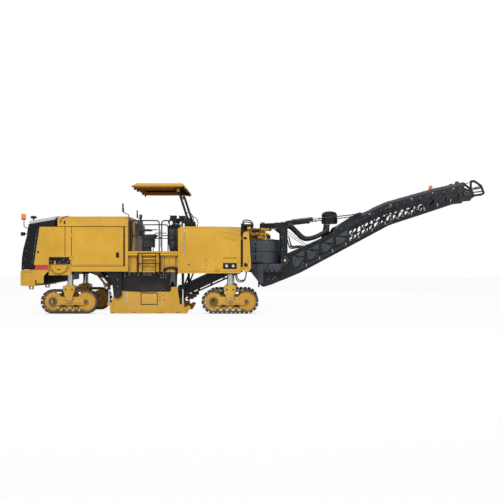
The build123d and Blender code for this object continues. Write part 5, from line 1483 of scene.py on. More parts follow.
@dataclass
class OperatorSeat:
    """Padded seat on its suspension, standing for the plain solid."""

    y: float = -0.70
    half: float = 0.235

    def _pad(self, name: str, outline: Sequence[Flat], half: float, crown: float) -> bpy.types.Object:
        """Make one crowned cushion.

        Args:
            name: the piece's name.
            outline: its side view as (x, z).
            half: half its width.
            crown: how far its middle swells.

        Returns:
            The cushion.
        """
        pad = Piece(name, Finish.VINYL).plate(outline, self.y - half, self.y + half)
        mesh = pad.mesh
        bmesh.ops.subdivide_edges(mesh, edges=mesh.edges[:], cuts=5, use_grid_fill=True)
        middle = sum((v.co for v in mesh.verts), Vector()) / len(mesh.verts)
        axes = {f"use_axis_{axis}": True for axis in "xyz"}
        bmesh.ops.smooth_vert(mesh, verts=mesh.verts[:], factor=0.5, **axes)
        for vert in mesh.verts:
            inward = 1 - min(1.0, abs(vert.co.y - self.y) / half) ** 2
            away = (vert.co - middle) * Vector((1, 0, 1))
            if away.length:
                vert.co += away.normalized() * crown * inward
        made = pad.ready()
        smooth = made.modifiers.new("smooth", "SUBSURF")
        smooth.levels = smooth.render_levels = 1
        return made

    def build(self) -> None:
        """Build the cushions, shell, arms and suspension."""
        middle = self.y
        base = ((-3.60, 2.375), (-3.17, 2.375), (-3.15, 2.43), (-3.18, 2.475), (-3.60, 2.465))
        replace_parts(self._pad("seat_cushion", base, self.half, 0.014), "seat")
        back = ((-3.62, 2.48), (-3.59, 2.55), (-3.62, 2.91), (-3.66, 2.93), (-3.71, 2.90), (-3.68, 2.48))
        self._pad("seat_back", back, self.half, 0.012)
        rest = ((-3.63, 2.975), (-3.62, 3.09), (-3.66, 3.105), (-3.69, 3.09), (-3.69, 2.975))
        self._pad("head_rest", rest, 0.12, 0.008)
        shell = Piece("seat_shell", Finish.PLASTIC)
        spine = ((-3.70, 2.44), (-3.67, 2.46), (-3.70, 2.92), (-3.735, 2.92), (-3.735, 2.60))
        shell.plate(spine, middle - 0.20, middle + 0.20, 0.008)
        shell.block((-3.62, middle - 0.22, 2.335), (-3.19, middle + 0.22, 2.372), 0.008)
        shell.block((-3.66, middle - 0.02, 2.90), (-3.64, middle + 0.02, 2.99), 0.004)
        for side in (-1, 1):
            y, inner = middle + side * 0.27, middle + side * 0.19
            shell.block((-3.69, y - 0.03, 2.585), (-3.33, y + 0.03, 2.632), 0.014)
            shell.block((-3.69, y - 0.02, 2.43), (-3.65, y + 0.02, 2.60), 0.006)
            shell.block((-3.69, min(y, inner), 2.43), (-3.65, max(y, inner), 2.46), 0.006)
        shell.ready()
        bellows = Piece("seat_bellows", Finish.RUBBER)
        steps = spread(2.07, 2.335, 9)
        for n, (low, high) in enumerate(zip(steps, steps[1:])):
            inset = 0.012 if n % 2 else 0.0
            bellows.block(
                (-3.58 + inset, middle - 0.2 + inset, low), (-3.22 - inset, middle + 0.2 - inset, high), 0.008
            )
        bellows.block((-3.585, middle - 0.14, 1.936), (-3.335, middle + 0.14, 2.07), 0.01).ready()
        levers = Piece("seat_levers", Finish.BLACK)
        levers.rod((-3.30, middle - 0.22, 2.30), (-3.25, middle - 0.27, 2.30), 0.012, 0.018, 12)
        levers.rod((-3.45, middle - 0.22, 2.34), (-3.43, middle - 0.28, 2.36), 0.010, 0.016, 12).ready()


class Consoles:
    """Screens, buttons, joystick boots and panels on both consoles."""

    def build(self) -> None:
        """Build both consoles' details."""
        glass, hoods = Piece("console_screens", Finish.SCREEN), Piece("console_screen_hoods", Finish.PLASTIC)
        for x, y in ((-2.625, -0.72), (-2.36, -0.56)):
            pane = ((x - 0.113, 2.915), (x - 0.084, 3.05), (x - 0.080, 3.05), (x - 0.109, 2.915))
            glass.plate(pane, y - 0.115, y + 0.115)
            hood = ((x - 0.10, 3.050), (x - 0.115, 3.068), (x + 0.10, 3.068), (x + 0.10, 3.055))
            hoods.plate(hood, y - 0.13, y + 0.13, 0.004)
            hoods.rod((x, y, 2.78), (x, y, 2.91), 0.026, sides=12).ball((x, y, 2.895), 0.035)
        glass.pair()
        hoods.pair()
        keys, lights = Piece("console_keys", Finish.PLASTIC), Piece("console_lights", Finish.RED)
        for x in (-2.60 + row * 0.042 for row in range(4)):
            for y in (-0.82 + column * 0.06 for column in range(6)):
                keys.around((x, y, 2.794), (0.013, 0.016, 0.004), 0.003)
        for y in (-0.80, -0.60):
            lights.rod((-2.46, y, 2.788), (-2.46, y, 2.803), 0.014, 0.011, 14)
        keys.pair()
        lights.pair()
        folds = (
            (0.052, 0.0), (0.050, 0.01), (0.056, 0.018), (0.042, 0.03), (0.047, 0.038), (0.034, 0.05),
            (0.037, 0.057), (0.018, 0.075), (0.0, 0.075), (0.0, 0.0),
        )
        Piece("joystick_boots", Finish.RUBBER).ring((-2.731, -0.76, 2.70), folds, 20, (-0.14, 0, 1)).pair()
        panels = Piece("console_panels", Finish.PLASTIC)
        panels.blocks(
            0.002, (-2.70, -0.884, 2.02, -2.47, -0.879, 2.26), (-2.74, -0.884, 2.32, -2.47, -0.879, 2.64)
        )
        for z in spread(2.36, 2.60, 7):
            panels.block((-2.72, -0.888, z), (-2.60, -0.883, z + 0.012), 0.001)
        panels.pair()
        spots = [(x, -0.88, z) for x in (-2.69, -2.48) for z in (2.04, 2.24, 2.34, 2.62)]
        Piece("console_bolts", Finish.BOLT).bolts(spots, 0.006, 0.006).pair()


@dataclass
class Canopy:
    """Fascia lines of painted shade, lining in painted shade, work lamps and hinge pins of the canopy."""

    y: float = -1.40
    roof: str = "canopy_top"

    def lining(self) -> None:
        """Fascia lines of painted shade, the ceiling with its lining, both coloured as painted shade, the
        painted shades under it, and the roof's ribs.
        """
        y = self.y
        # Darker yellow lines on the fascia: painted shade.
        dark = Piece("canopy_shade_lines", Finish.SHADE_YELLOW, self.roof)
        dark.plate(((-3.80, 3.945), (-2.24, 3.945), (-2.23, 3.930), (-3.82, 3.930)), y - 0.002, y + 0.004)
        dark.plate(
            ((-3.69, 3.995), (-2.27, 3.995), (-2.262, 3.988), (-3.70, 3.988)), y - 0.001, y + 0.004
        ).pair()
        # Lining in painted-shade brown.
        lining = Piece("canopy_lining", Finish.BROWN, self.roof)
        lining.block((-3.64, -1.33, 3.972), (-2.33, 1.33, 3.990), 0.004)
        for x in spread(-3.5, -2.48, 4):
            lining.block((x - 0.02, -1.36, 3.935), (x + 0.02, 1.36, 3.975), 0.004)
        lining.ready()
        # Ceiling in yellow paint darkened as painted shade.
        Piece("canopy_ceiling", Finish.UMBER, self.roof).block(
            (-3.79, -1.37, 3.908), (-2.26, 1.37, 3.922), 0.004
        ).ready()
        shade_ribs = Piece("canopy_shades", Finish.SHADOW, self.roof)
        shade_ribs.block((-3.60, -0.30, 3.900), (-2.60, 0.25, 3.909), 0.004)
        shade_ribs.blocks(
            0.003, (-3.84, -1.401, 3.912, -2.215, -1.372, 3.934), (-3.84, 1.372, 3.912, -2.215, 1.401, 3.934)
        )
        for x in (-2.52, -2.44, -2.36, -2.28):
            shade_ribs.block((x - 0.022, -1.30, 3.888), (x + 0.022, 1.30, 3.909), 0.004)
        for across in (-1.25, -0.8, -0.3, 0.3, 0.8, 1.25):
            shade_ribs.block((-2.56, across - 0.02, 3.880), (-2.24, across + 0.02, 3.909), 0.004)
        shade_ribs.ready()
        ribs = Piece("canopy_top_ribs", Finish.YELLOW, self.roof)
        for across in (-0.95, -0.32, 0.32, 0.95):
            ribs.block((-3.62, across - 0.03, 4.017), (-2.32, across + 0.03, 4.026), 0.004)
        ribs.ready()

    def lamps(self) -> None:
        """Work lamps under both ends of the roof."""
        lamps = Piece("canopy_lamps", Finish.BLACK, self.roof)
        glass = Piece("canopy_lamp_glass", Finish.CLEAR, self.roof)
        bowl = ((0, -0.03), (0.035, -0.03), (0.05, 0), (0.05, 0.02), (0.043, 0.02), (0.043, 0.01), (0, 0.01))
        for x, way in ((-3.77, -1), (-2.27, 1)):
            for y in (-1.12, -0.55):
                lamps.ring((x + way * 0.01, y, 3.885), bowl, 24, (way, 0, 0))
                lamps.rod((x, y, 3.92), (x, y, 3.95), 0.010, sides=8)
                pane = ((0, 0.010), (0.042, 0.010), (0.042, 0.015), (0, 0.018))
                glass.ring((x + way * 0.01, y, 3.885), pane, 24, (way, 0, 0))
        lamps.pair()
        glass.pair()

    def feet(self) -> None:
        """Hinge pins, foot plates, and the cables that cross the fold."""
        pins = Piece("canopy_pins", Finish.BOLT).ring(
            (-2.15, -1.006, 2.95), knob(0.03, 0.008, 0.02, 0.014), 20
        )
        pins.bolts([(x, -1.016, 2.74) for x in (-2.18, -2.08)], 0.011, 0.008).pair()
        plates = Piece("canopy_foot_plates", Finish.BLACK)
        plates.plate(((-2.24, 2.705), (-2.01, 2.705), (-2.06, 2.98), (-2.20, 3.0)), -1.03, -1.008, 0.004)
        plates.rod((-2.15, -1.04, 2.95), (-2.15, -0.99, 2.95), 0.05, sides=20).pair()
        route = ((-2.22, 0.95, 3.15), (-2.05, 0.97, 3.14), (-1.95, 0.98, 2.95), (-2.02, 0.98, 2.76))
        for name, side in SIDES:
            cable = Piece(f"canopy_cable_{name}", Finish.HOSE)
            cable.pipe([(x, side * y, z) for x, y, z in route], 0.013, 0.09)
            cable.ready(across=("canopy_frame", (-2.05, 0, 2.85), (-2.10, 0, 3.14)))

    def build(self) -> None:
        """Build the canopy's details."""
        self.lining()
        self.lamps()
        self.feet()


# Front body, posts and the swing joint


@dataclass
class FrontBody:
    """Grab rail, panel lines, lamp recess, caps and bolts on the front body."""

    y: float = BODY_Y

    def panels(self) -> None:
        """Pressed panel with painted shade along its folds, slots, lamps, service cap lines, and plugs in
        painted-shade brown.
        """
        y = self.y
        lines = Piece("front_panel_lines", Finish.BLACK)
        lines.block((-1.035, y - 0.004, 1.716), (-0.610, y + 0.002, 1.734), 0.001)
        lines.block((-1.035, y - 0.005, 1.385), (-0.610, y + 0.002, 1.572), 0.004)
        lines.block((-2.431, y - 0.001, 1.30), (-2.424, y + 0.004, 2.62))
        lines.block((-1.0, y + 0.012, 1.228), (-0.52, y + 0.05, 1.252), 0.004).pair()
        # Darker yellow pipes along the pressed panel and the body's edges: painted shade in the folds.
        folds = Piece("front_panel_fold_shades", Finish.SHADE_YELLOW)
        pressed = (
            (-1.096, 2.538), (-0.545, 2.43), (-0.60, 2.285), (-0.70, 2.275), (-1.075, 2.385), (-1.096, 2.538)
        )
        edge = ((-2.36, 1.31), (-2.36, 2.60), (-2.28, 2.655), (-1.32, 2.655))
        for outline, radius, bend in (
            (pressed, 0.006, 0), (((-2.36, 1.31), (-0.55, 1.31)), 0.004, 0), (edge, 0.004, 0.03)
        ):
            folds.pipe([(x, y - 0.001, z) for x, z in outline], radius, bend, 6)
        folds.pair()
        rims, glass = Piece("work_lamp_rims", Finish.BOLT), Piece("work_lamp_glass", Finish.CLEAR)
        rim = ((0.036, 0), (0.05, 0), (0.05, 0.012), (0.043, 0.014), (0.036, 0.006))
        for x in (-0.92, -0.72):
            rims.ring((x, y - 0.004, 1.478), rim, 24)
            glass.ring(
                (x, y - 0.004, 1.478), ((0, 0), (0.036, 0), (0.036, 0.005), (0.02, 0.009), (0, 0.010)), 24
            )
        rims.pair()
        glass.pair()
        # Plugs and the ring in painted-shade brown.
        plugs = Piece("front_plugs", Finish.BROWN)
        for x, z, r in (
            (-1.53, 1.664, 0.016), (-1.59, 1.602, 0.02), (-1.53, 1.494, 0.016), (-1.59, 1.386, 0.02),
            (-1.28, 1.664, 0.014), (-1.25, 1.447, 0.016), (-2.085, 1.524, 0.03), (-0.56, 1.60, 0.012),
        ):
            plugs.ring((x, y, z), knob(r, 0.004, 0.6 * r, 0.006), 18)
        turns = spread(0, 2 * pi, 17)
        plugs.pipe([(0.075 * cos(a) - 1.22, y - 0.001, 1.335 + 0.035 * sin(a)) for a in turns], 0.007, 0, 6)
        plugs.pair()

    def rail(self) -> None:
        """Bright grab rail, hooked black rod, catches and roof hatch."""
        y = self.y
        rails = Piece("front_grab_rails", Finish.CHROME)
        route = ((y, 2.60), (y - 0.035, 2.585), (y - 0.035, 1.80), (y, 1.785))
        rails.pipe([(-2.224, *rest) for rest in route], 0.011, 0.02, 10).pair()
        hooks = Piece("hooked_rods", Finish.BLACK)
        route = ((-0.44, 2.78), (-0.47, 2.60), (-0.445, 2.45), (-0.45, 1.80))
        hooks.pipe([(x, -1.20, z) for x, z in route], 0.016, 0.05)
        hooks.blocks(
            0.006, (-0.485, -1.21, 1.86, -0.43, -1.16, 1.90), (-0.49, -1.21, 2.40, -0.43, -1.16, 2.44)
        ).pair()
        hatch = Piece("front_roof_hatch", Finish.YELLOW).block(
            (-1.9, -0.55, 2.698), (-1.25, 0.55, 2.712), 0.006
        )
        hatch.block((-2.25, -0.9, 2.698), (-1.98, 0.9, 2.708), 0.004).ready()
        grips = Piece("front_roof_fittings", Finish.BLACK)
        for x in (-1.78, -1.38):
            handle = ((x - 0.07, 2.71), (x - 0.07, 2.745), (x + 0.07, 2.745), (x + 0.07, 2.71))
            grips.pipe([(a, 0.42, z) for a, z in handle], 0.007, 0.015)
            grips.block((x - 0.04, -0.565, 2.71), (x + 0.04, -0.52, 2.722), 0.003)
        for x in spread(-2.21, -2.02, 5):
            grips.block((x - 0.012, -0.8, 2.707), (x + 0.012, 0.8, 2.7115), 0.002)
        grips.ready()
        row = [(x, 2.64) for x in (-2.2, -1.8, -1.4)] + [(x, 1.27) for x in (-2.3, -1.6, -1.05, -0.56)]
        bolts = Piece("front_body_bolts", Finish.BOLT).bolts([(x, y, z) for x, z in row], 0.008, 0.006)
        spots = [(-0.49, across, z) for across in (-0.5, -0.8, -0.98) for z in (1.35, 2.1, 2.42)]
        bolts.bolts(spots, 0.010, 0.008, AHEAD).pair()

    def posts(self) -> None:
        """Rims round the eyes, painted highlights along the edges, and head plates on the two posts."""
        y = -1.22
        rim = ((0.033, 0), (0.062, 0), (0.062, 0.006), (0.045, 0.010), (0.033, 0.010))
        eyes = Piece("post_eye_rims", Finish.BLACK).ring((-0.33, y, 1.51), rim, 26)
        eyes.bolts([(-0.26, y, 1.40), (-0.38, y, 1.40), (-0.24, y, 1.62)], 0.010, 0.008).pair()
        # Pale yellow pipe along the post's edge: painted highlight.
        edge = ((-0.27, 2.53), (-0.235, 2.47), (-0.185, 1.67), (-0.185, 1.39), (-0.26, 1.30))
        Piece("post_edge_highlights", Finish.PALE_YELLOW).pipe([(x, y + 0.002, z) for x, z in edge], 0.005, 0, 6).pair()
        heads = Piece("post_heads", Finish.BLACK).block((-0.41, -1.18, 2.530), (-0.28, -1.08, 2.550), 0.006)
        heads.rod((-0.345, -1.13, 2.54), (-0.345, -1.13, 2.60), 0.022, sides=14)
        heads.block((-0.40, y - 0.004, 2.30), (-0.30, y + 0.002, 2.38), 0.003).pair()

    def build(self) -> None:
        """Build the front body's details."""
        self.panels()
        self.rail()
        self.posts()


@dataclass
class SwingJoint:
    """Cylinders, manifold, pins and covers round the swing frame and its skirts."""

    swing_x: float = 0.22
    radius: float = 0.545
    rear: float = -0.49

    def bracket(self) -> None:
        """Valve block, ribs, bolts and slewing cylinders on the yellow bracket."""
        black = Piece("swing_valves", Finish.BLACK)
        black.blocks(
            0.012, (-0.47, -0.36, 2.70, -0.12, 0.36, 2.80), (-0.42, -0.42, 2.45, -0.20, -0.171, 2.62),
            (-0.42, 0.171, 2.45, -0.20, 0.42, 2.62),
        )
        black.block((-0.12, -0.235, 2.42), (0.02, -0.169, 2.60), 0.01)
        for x in (-0.40, -0.30, -0.20):
            for y in (-0.30, -0.15, 0.0, 0.15, 0.30):
                black.rod((x, y, 2.79), (x, y, 2.835), 0.016, 0.012, 10)
        for z in (2.48, 2.54, 2.60):
            black.rod((-0.31, -0.46, z), (-0.31, -0.40, z), 0.018, sides=10)
        black.ready()
        ribs = Piece("swing_bracket_ribs", Finish.YELLOW)
        for y in (-0.178, 0.170):
            rib = ((-0.48, 2.36), (0.05, 2.36), (0.18, 2.45), (0.18, 2.49), (0.02, 2.42), (-0.48, 2.42))
            ribs.plate(rib, y, y + 0.008, 0.002)
        cap = ((0.0, -0.002), (0.075, -0.002), (0.075, 0.012), (0.03, 0.016), (0.0, 0.016))
        ribs.ring((self.swing_x, 0, 2.887), cap, 28, UP).ready()
        spots = [(x, -0.172, z) for x in (0.10, 0.2) for z in (2.52, 2.60, 2.66)]
        Piece("swing_bracket_bolts", Finish.BOLT).bolts(spots, 0.012, 0.01).pair()
        barrels = Piece("slew_barrels", Finish.BLACK)
        barrels.rod((-0.40, -0.50, 2.775), (-0.10, -0.48, 2.775), 0.042, bevel=0.006)
        barrels.rod((-0.14, -0.483, 2.775), (-0.09, -0.479, 2.775), 0.05, bevel=0.004)
        barrels.block((-0.49, -0.55, 2.65), (-0.37, -0.45, 2.83), 0.01).pair()

    def masts(self) -> None:
        """Gussets, rims, bolts, pipes and curtains on the swing frame."""
        ribs = Piece("mast_ribs", Finish.SATIN, "swing")
        for z in (1.42, 2.60):
            ribs.block((0.785, -0.606, z), (0.990, -0.598, z + 0.03), 0.004)
        ribs.plate(((0.60, 1.345), (0.78, 1.345), (0.78, 1.56)), -0.575, -0.560, 0.003)
        ribs.plate(((0.60, 2.695), (0.785, 2.695), (0.785, 2.55)), -0.575, -0.560, 0.003)
        ribs.ring((0.913, -0.640, 1.655), knob(0.075, 0.008, 0.05, 0.012), 28)
        ribs.ring((0.96, -0.718, 2.862), disc(0.04, 0.008, 0.010), 24).pair()
        spots = [(0.913 + x, -0.600, 1.655 + z) for x, z in circle(8, 0.105)]
        spots += [(0.82, -0.600, z) for z in (1.50, 2.0, 2.4)] + [
            (x, -0.600, 1.315) for x in (0.35, 0.5, 0.65)
        ]
        Piece("mast_bolts", Finish.BOLT, "swing").bolts(spots, 0.011, 0.009).pair()
        pipes = Piece("mast_pipes", Finish.HOSE, "swing")
        for y in (-0.614, -0.640):
            pipes.pipe(
                [(x, y, z) for x, z in ((0.86, 2.70), (0.86, 2.10), (0.84, 1.78), (0.84, 1.45))], 0.009, 0.05
            )
        for z in (2.55, 2.2, 1.85):
            pipes.block((0.83, -0.650, z), (0.885, -0.600, z + 0.03), 0.004)
        pipes.pair()
        curtains = Piece("arm_curtains", Finish.SKIRT, "swing")
        curtains.block((0.40, -0.596, 1.348), (0.778, -0.568, 1.548), 0.004).pair()

    def skirt(self) -> None:
        """Rim, straps, seams and hanging curtain of the fixed skirt."""
        radius, rear, middle = self.radius, self.rear, self.swing_x
        arc = spread(-pi / 2, pi / 2, 25)
        curve = [(middle + radius * cos(a), radius * sin(a)) for a in arc]
        rims = Piece("skirt_rims", Finish.BLACK)
        for z, grow, thick in ((2.312, 1.012, 0.012), (1.56, 1.006, 0.010), (1.94, 1.004, 0.008)):
            plan = [(rear, -radius), *curve, (rear, radius)]
            rims.pipe([(middle + (x - middle) * grow, y * grow, z) for x, y in plan], thick)
        for x in (-0.30, -0.02):
            rims.block((x - 0.02, -radius - 0.008, 1.545), (x + 0.02, -radius + 0.002, 2.32), 0.003)
            rims.block((x - 0.02, radius - 0.002, 1.545), (x + 0.02, radius + 0.008, 2.32), 0.003)
        rims.ready()
        spots = [(x, -radius - 0.008, z) for x in (-0.30, -0.02) for z in (1.62, 1.86, 2.10, 2.26)]
        bolts = Piece("skirt_bolts", Finish.BOLT).bolts(spots, 0.010, 0.008)
        for a in spread(0.2 - pi / 2, pi / 2 - 0.2, 9):
            out = Vector((cos(a), sin(a), 0))
            bolts.bolts([Vector((middle, 0, 2.27)) + out * (radius + 0.001)], 0.010, 0.008, out)
        bolts.ready()
        curtain = Piece("skirt_curtain", Finish.SKIRT)
        hung = [place for place, a in zip(curve, arc) if abs(a) >= radians(62)]
        for side in (-1, 1):
            line = [(rear + 0.005, side * radius)] + [p for p in hung if p[1] * side > 0][::-side]
            for (xa, ya), (xb, yb) in zip(line, line[1:]):
                turn = Matrix.Rotation(math.atan2(yb - ya, xb - xa), 3, "Z")
                half = (math.hypot(xb - xa, yb - ya) / 2 + 0.001, 0.005, 0.088)
                curtain.around(((xa + xb) / 2, (ya + yb) / 2, 1.452), half, 0.0, turn)
        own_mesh(curtain.ready())

    def build(self) -> None:
        """Build the swing joint's details."""
        self.bracket()
        self.masts()
        self.skirt()


# Upper conveyor


@dataclass
class BoomSide:
    """The lines of the boom's side, which its fittings follow."""

    y: float = -0.50
    bottom: tuple[Flat, ...] = (
        (0.80, 1.007), (1.395, 1.256), (3.054, 2.140), (4.215, 2.762),
        (4.343, 2.810), (5.383, 3.151), (6.515, 3.527), (6.834, 3.559),
    )
    top: tuple[Flat, ...] = (
        (0.80, 1.560), (1.035, 1.897), (2.03, 2.341), (2.387, 2.510), (4.13, 3.345), (5.69, 3.795),
        (6.64, 3.985),
    )
    crown: tuple[Flat, ...] = ((2.53, 2.740), (4.10, 3.511), (5.67, 3.955), (6.604, 4.156))

    @staticmethod
    def height(line: Sequence[Flat], x: float) -> float:
        """Find the height of a line.

        Args:
            line: the line's (x, z) points.
            x: the place along it.

        Returns:
            The height.
        """
        for (x_low, z_low), (x_high, z_high) in zip(line, line[1:]):
            if x <= x_high:
                break
        return z_low + (z_high - z_low) * (x - x_low) / (x_high - x_low)

    def at(self, line: Sequence[Flat], places: Iterable[float], rise: float = 0.0) -> list[Flat]:
        """Points on a line at some places along it, raised by a height."""
        return [(x, self.height(line, x) + rise) for x in places]


@dataclass
class Boom(BoomSide):
    """Flanges, ribs, rollers, cover bows, pipes and lamps of the upper conveyor."""

    body: str = "conveyor"

    def flanges(self) -> None:
        """Edge flanges, upright ribs and splice plates on the sides."""
        y = self.y
        black = Piece("boom_flanges", Finish.SATIN, self.body)
        for line, rise, sink in ((self.bottom, 0.014, 0.0), (self.top[1:], 0.0, 0.014)):
            outline = [(x, z + rise) for x, z in line] + [(x, z - sink) for x, z in reversed(line)]
            black.plate(outline, y - 0.022, y + 0.004, 0.003)
        for x in (1.12, 1.58, 2.04, 2.50, 2.96, 4.24, 5.38):
            low, high = self.height(self.bottom, x), self.height(self.top, x)
            black.block((x - 0.014, y - 0.020, low + 0.01), (x + 0.014, y + 0.002, high - 0.01), 0.003)
        splice = ((4.10, 2.72), (4.10, 2.86), (4.36, 2.96), (4.36, 2.84))
        black.plate(splice, y - 0.014, y + 0.002, 0.003).pair()
        row = (4.14, 4.20, 4.26, 4.32)
        spots = [(x, y - 0.014, z) for x, z in self.at(self.bottom, row, 0.07)]
        spots += [(x, y - 0.022, z) for x, z in self.at(self.top, row, -0.03)]
        spots += [(x, y - 0.022, z) for x, z in self.at(self.top, spread(1.2, 6.5, 22), -0.008)]
        Piece("boom_bolts", Finish.BOLT, self.body).bolts(spots, 0.009, 0.007).pair()

    def rollers(self) -> None:
        """Rollers under the belt with their brackets."""
        rollers = Piece("belt_rollers", Finish.STEEL, self.body)
        brackets = Piece("roller_brackets", Finish.SATIN, self.body)
        for x, z in self.at(self.bottom, spread(1.7, 6.2, 9), 0.105):
            rollers.rod((x, -0.40, z), (x, 0.40, z), 0.038, bevel=0.004)
            for y in (-0.445, 0.41):
                brackets.block((x - 0.03, y, z - 0.05), (x + 0.03, y + 0.035, z + 0.03), 0.004)
        rollers.ready()
        brackets.ready()

    def cover(self) -> None:
        """Painted highlight strips along the cover's edges, bows and catches on the cover."""
        y = self.y
        # Pale strips along the cover's crown: painted highlight.
        strips = Piece("cover_edge_highlights", Finish.EDGE, self.body)
        for (x0, z0), (x1, z1) in zip(self.crown, self.crown[1:]):
            strips.rod((x0, y + 0.004, z0 - 0.006), (x1, y + 0.004, z1 - 0.006), 0.009, sides=8)
        strips.pair("grey_sheet")
        bows = Piece("cover_bows", Finish.SATIN, self.body)
        for x in spread(2.75, 6.45, 11):
            low, high = self.height(self.top, x), self.height(self.crown, x)
            bows.block((x - 0.012, y - 0.006, low - 0.02), (x + 0.012, y + 0.002, high + 0.002), 0.002)
            bows.block((x - 0.012, y - 0.006, high - 0.004), (x + 0.012, 0.0, high + 0.008), 0.002)
        bows.pair()
        catches = Piece("cover_catches", Finish.BOLT, self.body)
        for x, z in self.at(self.top, spread(2.95, 6.3, 6), 0.035):
            catches.block((x - 0.03, y - 0.014, z - 0.02), (x + 0.03, y + 0.002, z + 0.02), 0.004)
        catches.pair()

    def pipes(self) -> None:
        """Hydraulic pipes with clips along both sides, up to the head's motor."""
        pipes = Piece("boom_pipes", Finish.HOSE, self.body)
        clips = Piece("pipe_clips", Finish.BOLT, self.body)
        for drop in (0.10, 0.132, 0.164):
            line = self.at(self.bottom, (1.30, 1.40, 3.05, 4.21, 4.35, 5.38, 6.40), drop)
            pipes.pipe([(x, self.y - 0.034, z) for x, z in line], 0.009, 0.06)
        pipes.pair()
        for x, z in self.at(self.bottom, spread(1.6, 6.2, 12)):
            clips.block((x - 0.015, self.y - 0.046, z + 0.085), (x + 0.015, self.y - 0.002, z + 0.185), 0.004)
        clips.pair()

    def ends(self) -> None:
        """Drive motors, lamp and beacon collar at the head; wear strips and bolts on the tail."""
        y = self.y
        drives = Piece("head_drives", Finish.SATIN, self.body)
        drives.rod((6.715, y - 0.002, 3.79), (6.715, y - 0.05, 3.79), 0.085, bevel=0.006)
        drives.block((6.60, y - 0.018, 3.70), (6.83, y, 3.88), 0.006)
        drives.block((6.40, -0.40, 4.115), (6.50, -0.28, 4.19), 0.01).pair()
        lens = Piece("head_lamp_glass", Finish.CLEAR, self.body)
        lens.block((6.498, -0.39, 4.125), (6.504, -0.29, 4.18), 0.002).pair()
        spots = [(6.715 + x, y - 0.052, 3.79 + z) for x, z in circle(6, 0.065)]
        Piece("head_bolts", Finish.BOLT, self.body).bolts(spots, 0.008, 0.006).pair()
        foot = Piece("boom_beacon_foot", Finish.BLACK, self.body)
        foot.ring((5.69, 0, 3.965), disc(0.062, 0.02), 24, UP).ready()
        lips = Piece("tail_lips", Finish.SATIN, self.body)
        upper = ((0.115, 1.30), (0.115, 1.348), (0.64, 1.408), (0.855, 1.444), (0.855, 1.40), (0.64, 1.36))
        lower = (
            (0.14, 0.90), (0.16, 0.86), (0.23, 0.83), (0.30, 0.84), (0.51, 0.91),
            (0.85, 1.05), (0.85, 1.09), (0.5, 0.95), (0.28, 0.88),
        )
        lips.plate(upper, -0.386, -0.372, 0.003).plate(lower, -0.388, -0.378, 0.003).pair()
        row = ((0.2, 1.0), (0.2, 1.25), (0.4, 1.05), (0.4, 1.28), (0.6, 1.12), (0.6, 1.3), (0.54, 1.06))
        Piece("tail_bolts", Finish.BOLT, self.body).bolts(
            [(x, -0.38, z) for x, z in row], 0.010, 0.008
        ).pair()

    def build(self) -> None:
        """Build the boom's details."""
        self.flanges()
        self.rollers()
        self.cover()
        self.pipes()
        self.ends()


@dataclass
class DustExtractor:
    """Bands and lid on the blower, and ribbed ducts to it."""

    x: float = 2.39

    def blower(self) -> None:
        """Bands, lid, straps and bolts on the blower."""
        bands = Piece("blower_bands", Finish.SATIN, "conveyor")
        for z in (2.88, 3.02, 3.12):
            bands.ring((self.x, 0, z), collar(0.249, 0.258, 0.022), 40, UP)
        bands.ring((self.x, 0, 3.243), disc(0.09, 0.016, 0.02), 28, UP)
        for a in spread(0, 2 * pi * 5 / 6, 6):
            place = Vector((self.x, 0, 2.95)) + Vector((cos(a), sin(a), 0)) * 0.252
            bands.around(place, (0.012, 0.02, 0.05), 0.003, Matrix.Rotation(a, 3, "Z"))
        bands.ready()
        bolts = Piece("blower_bolts", Finish.BOLT, "conveyor")
        for x, y in circle(10, 0.258, 0.3):
            bolts.bolts([(self.x + x, y, 3.03)], 0.009, 0.008, (x, y, 0))
        bolts.ready()

    def ducts(self) -> None:
        """Two ribbed ducts and their clamps."""
        route = ((0.9965, 2.775), (1.12, 2.775), (1.56, 2.34), (1.90, 2.40), (2.30, 2.61), (2.30, 2.7995))
        rib = ((0.071, -0.010), (0.078, -0.006), (0.078, 0.006), (0.071, 0.010))
        for name, side in SIDES:
            path = [(x, side * 0.20, z) for x, z in route]
            duct = Piece(f"dust_duct_{name}", Finish.HOSE, "swing").pipe(path, 0.072, 0.16, 20)
            line = rounded(path, 0.16, 7)
            walked = 0.02
            for here, ahead in zip(line, line[1:]):
                run, way = (ahead - here).length, (ahead - here).normalized()
                while walked < run:
                    duct.ring(here + way * walked, rib, 20, way)
                    walked += 0.042
                walked -= run
            made = duct.ready(across=("conveyor", (1.05, 0, 2.775), (2.28, 0, 2.62)))
            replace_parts(made, "dust_ducts")
        clamps = Piece("duct_clamps", Finish.BOLT, "conveyor")
        for y in (-0.20, 0.20):
            clamps.ring((2.30, y, 2.805), collar(0.0855, 0.092, 0.02), 24, UP)
        clamps.ready()

    def build(self) -> None:
        """Build the extractor's details."""
        self.blower()
        self.ducts()


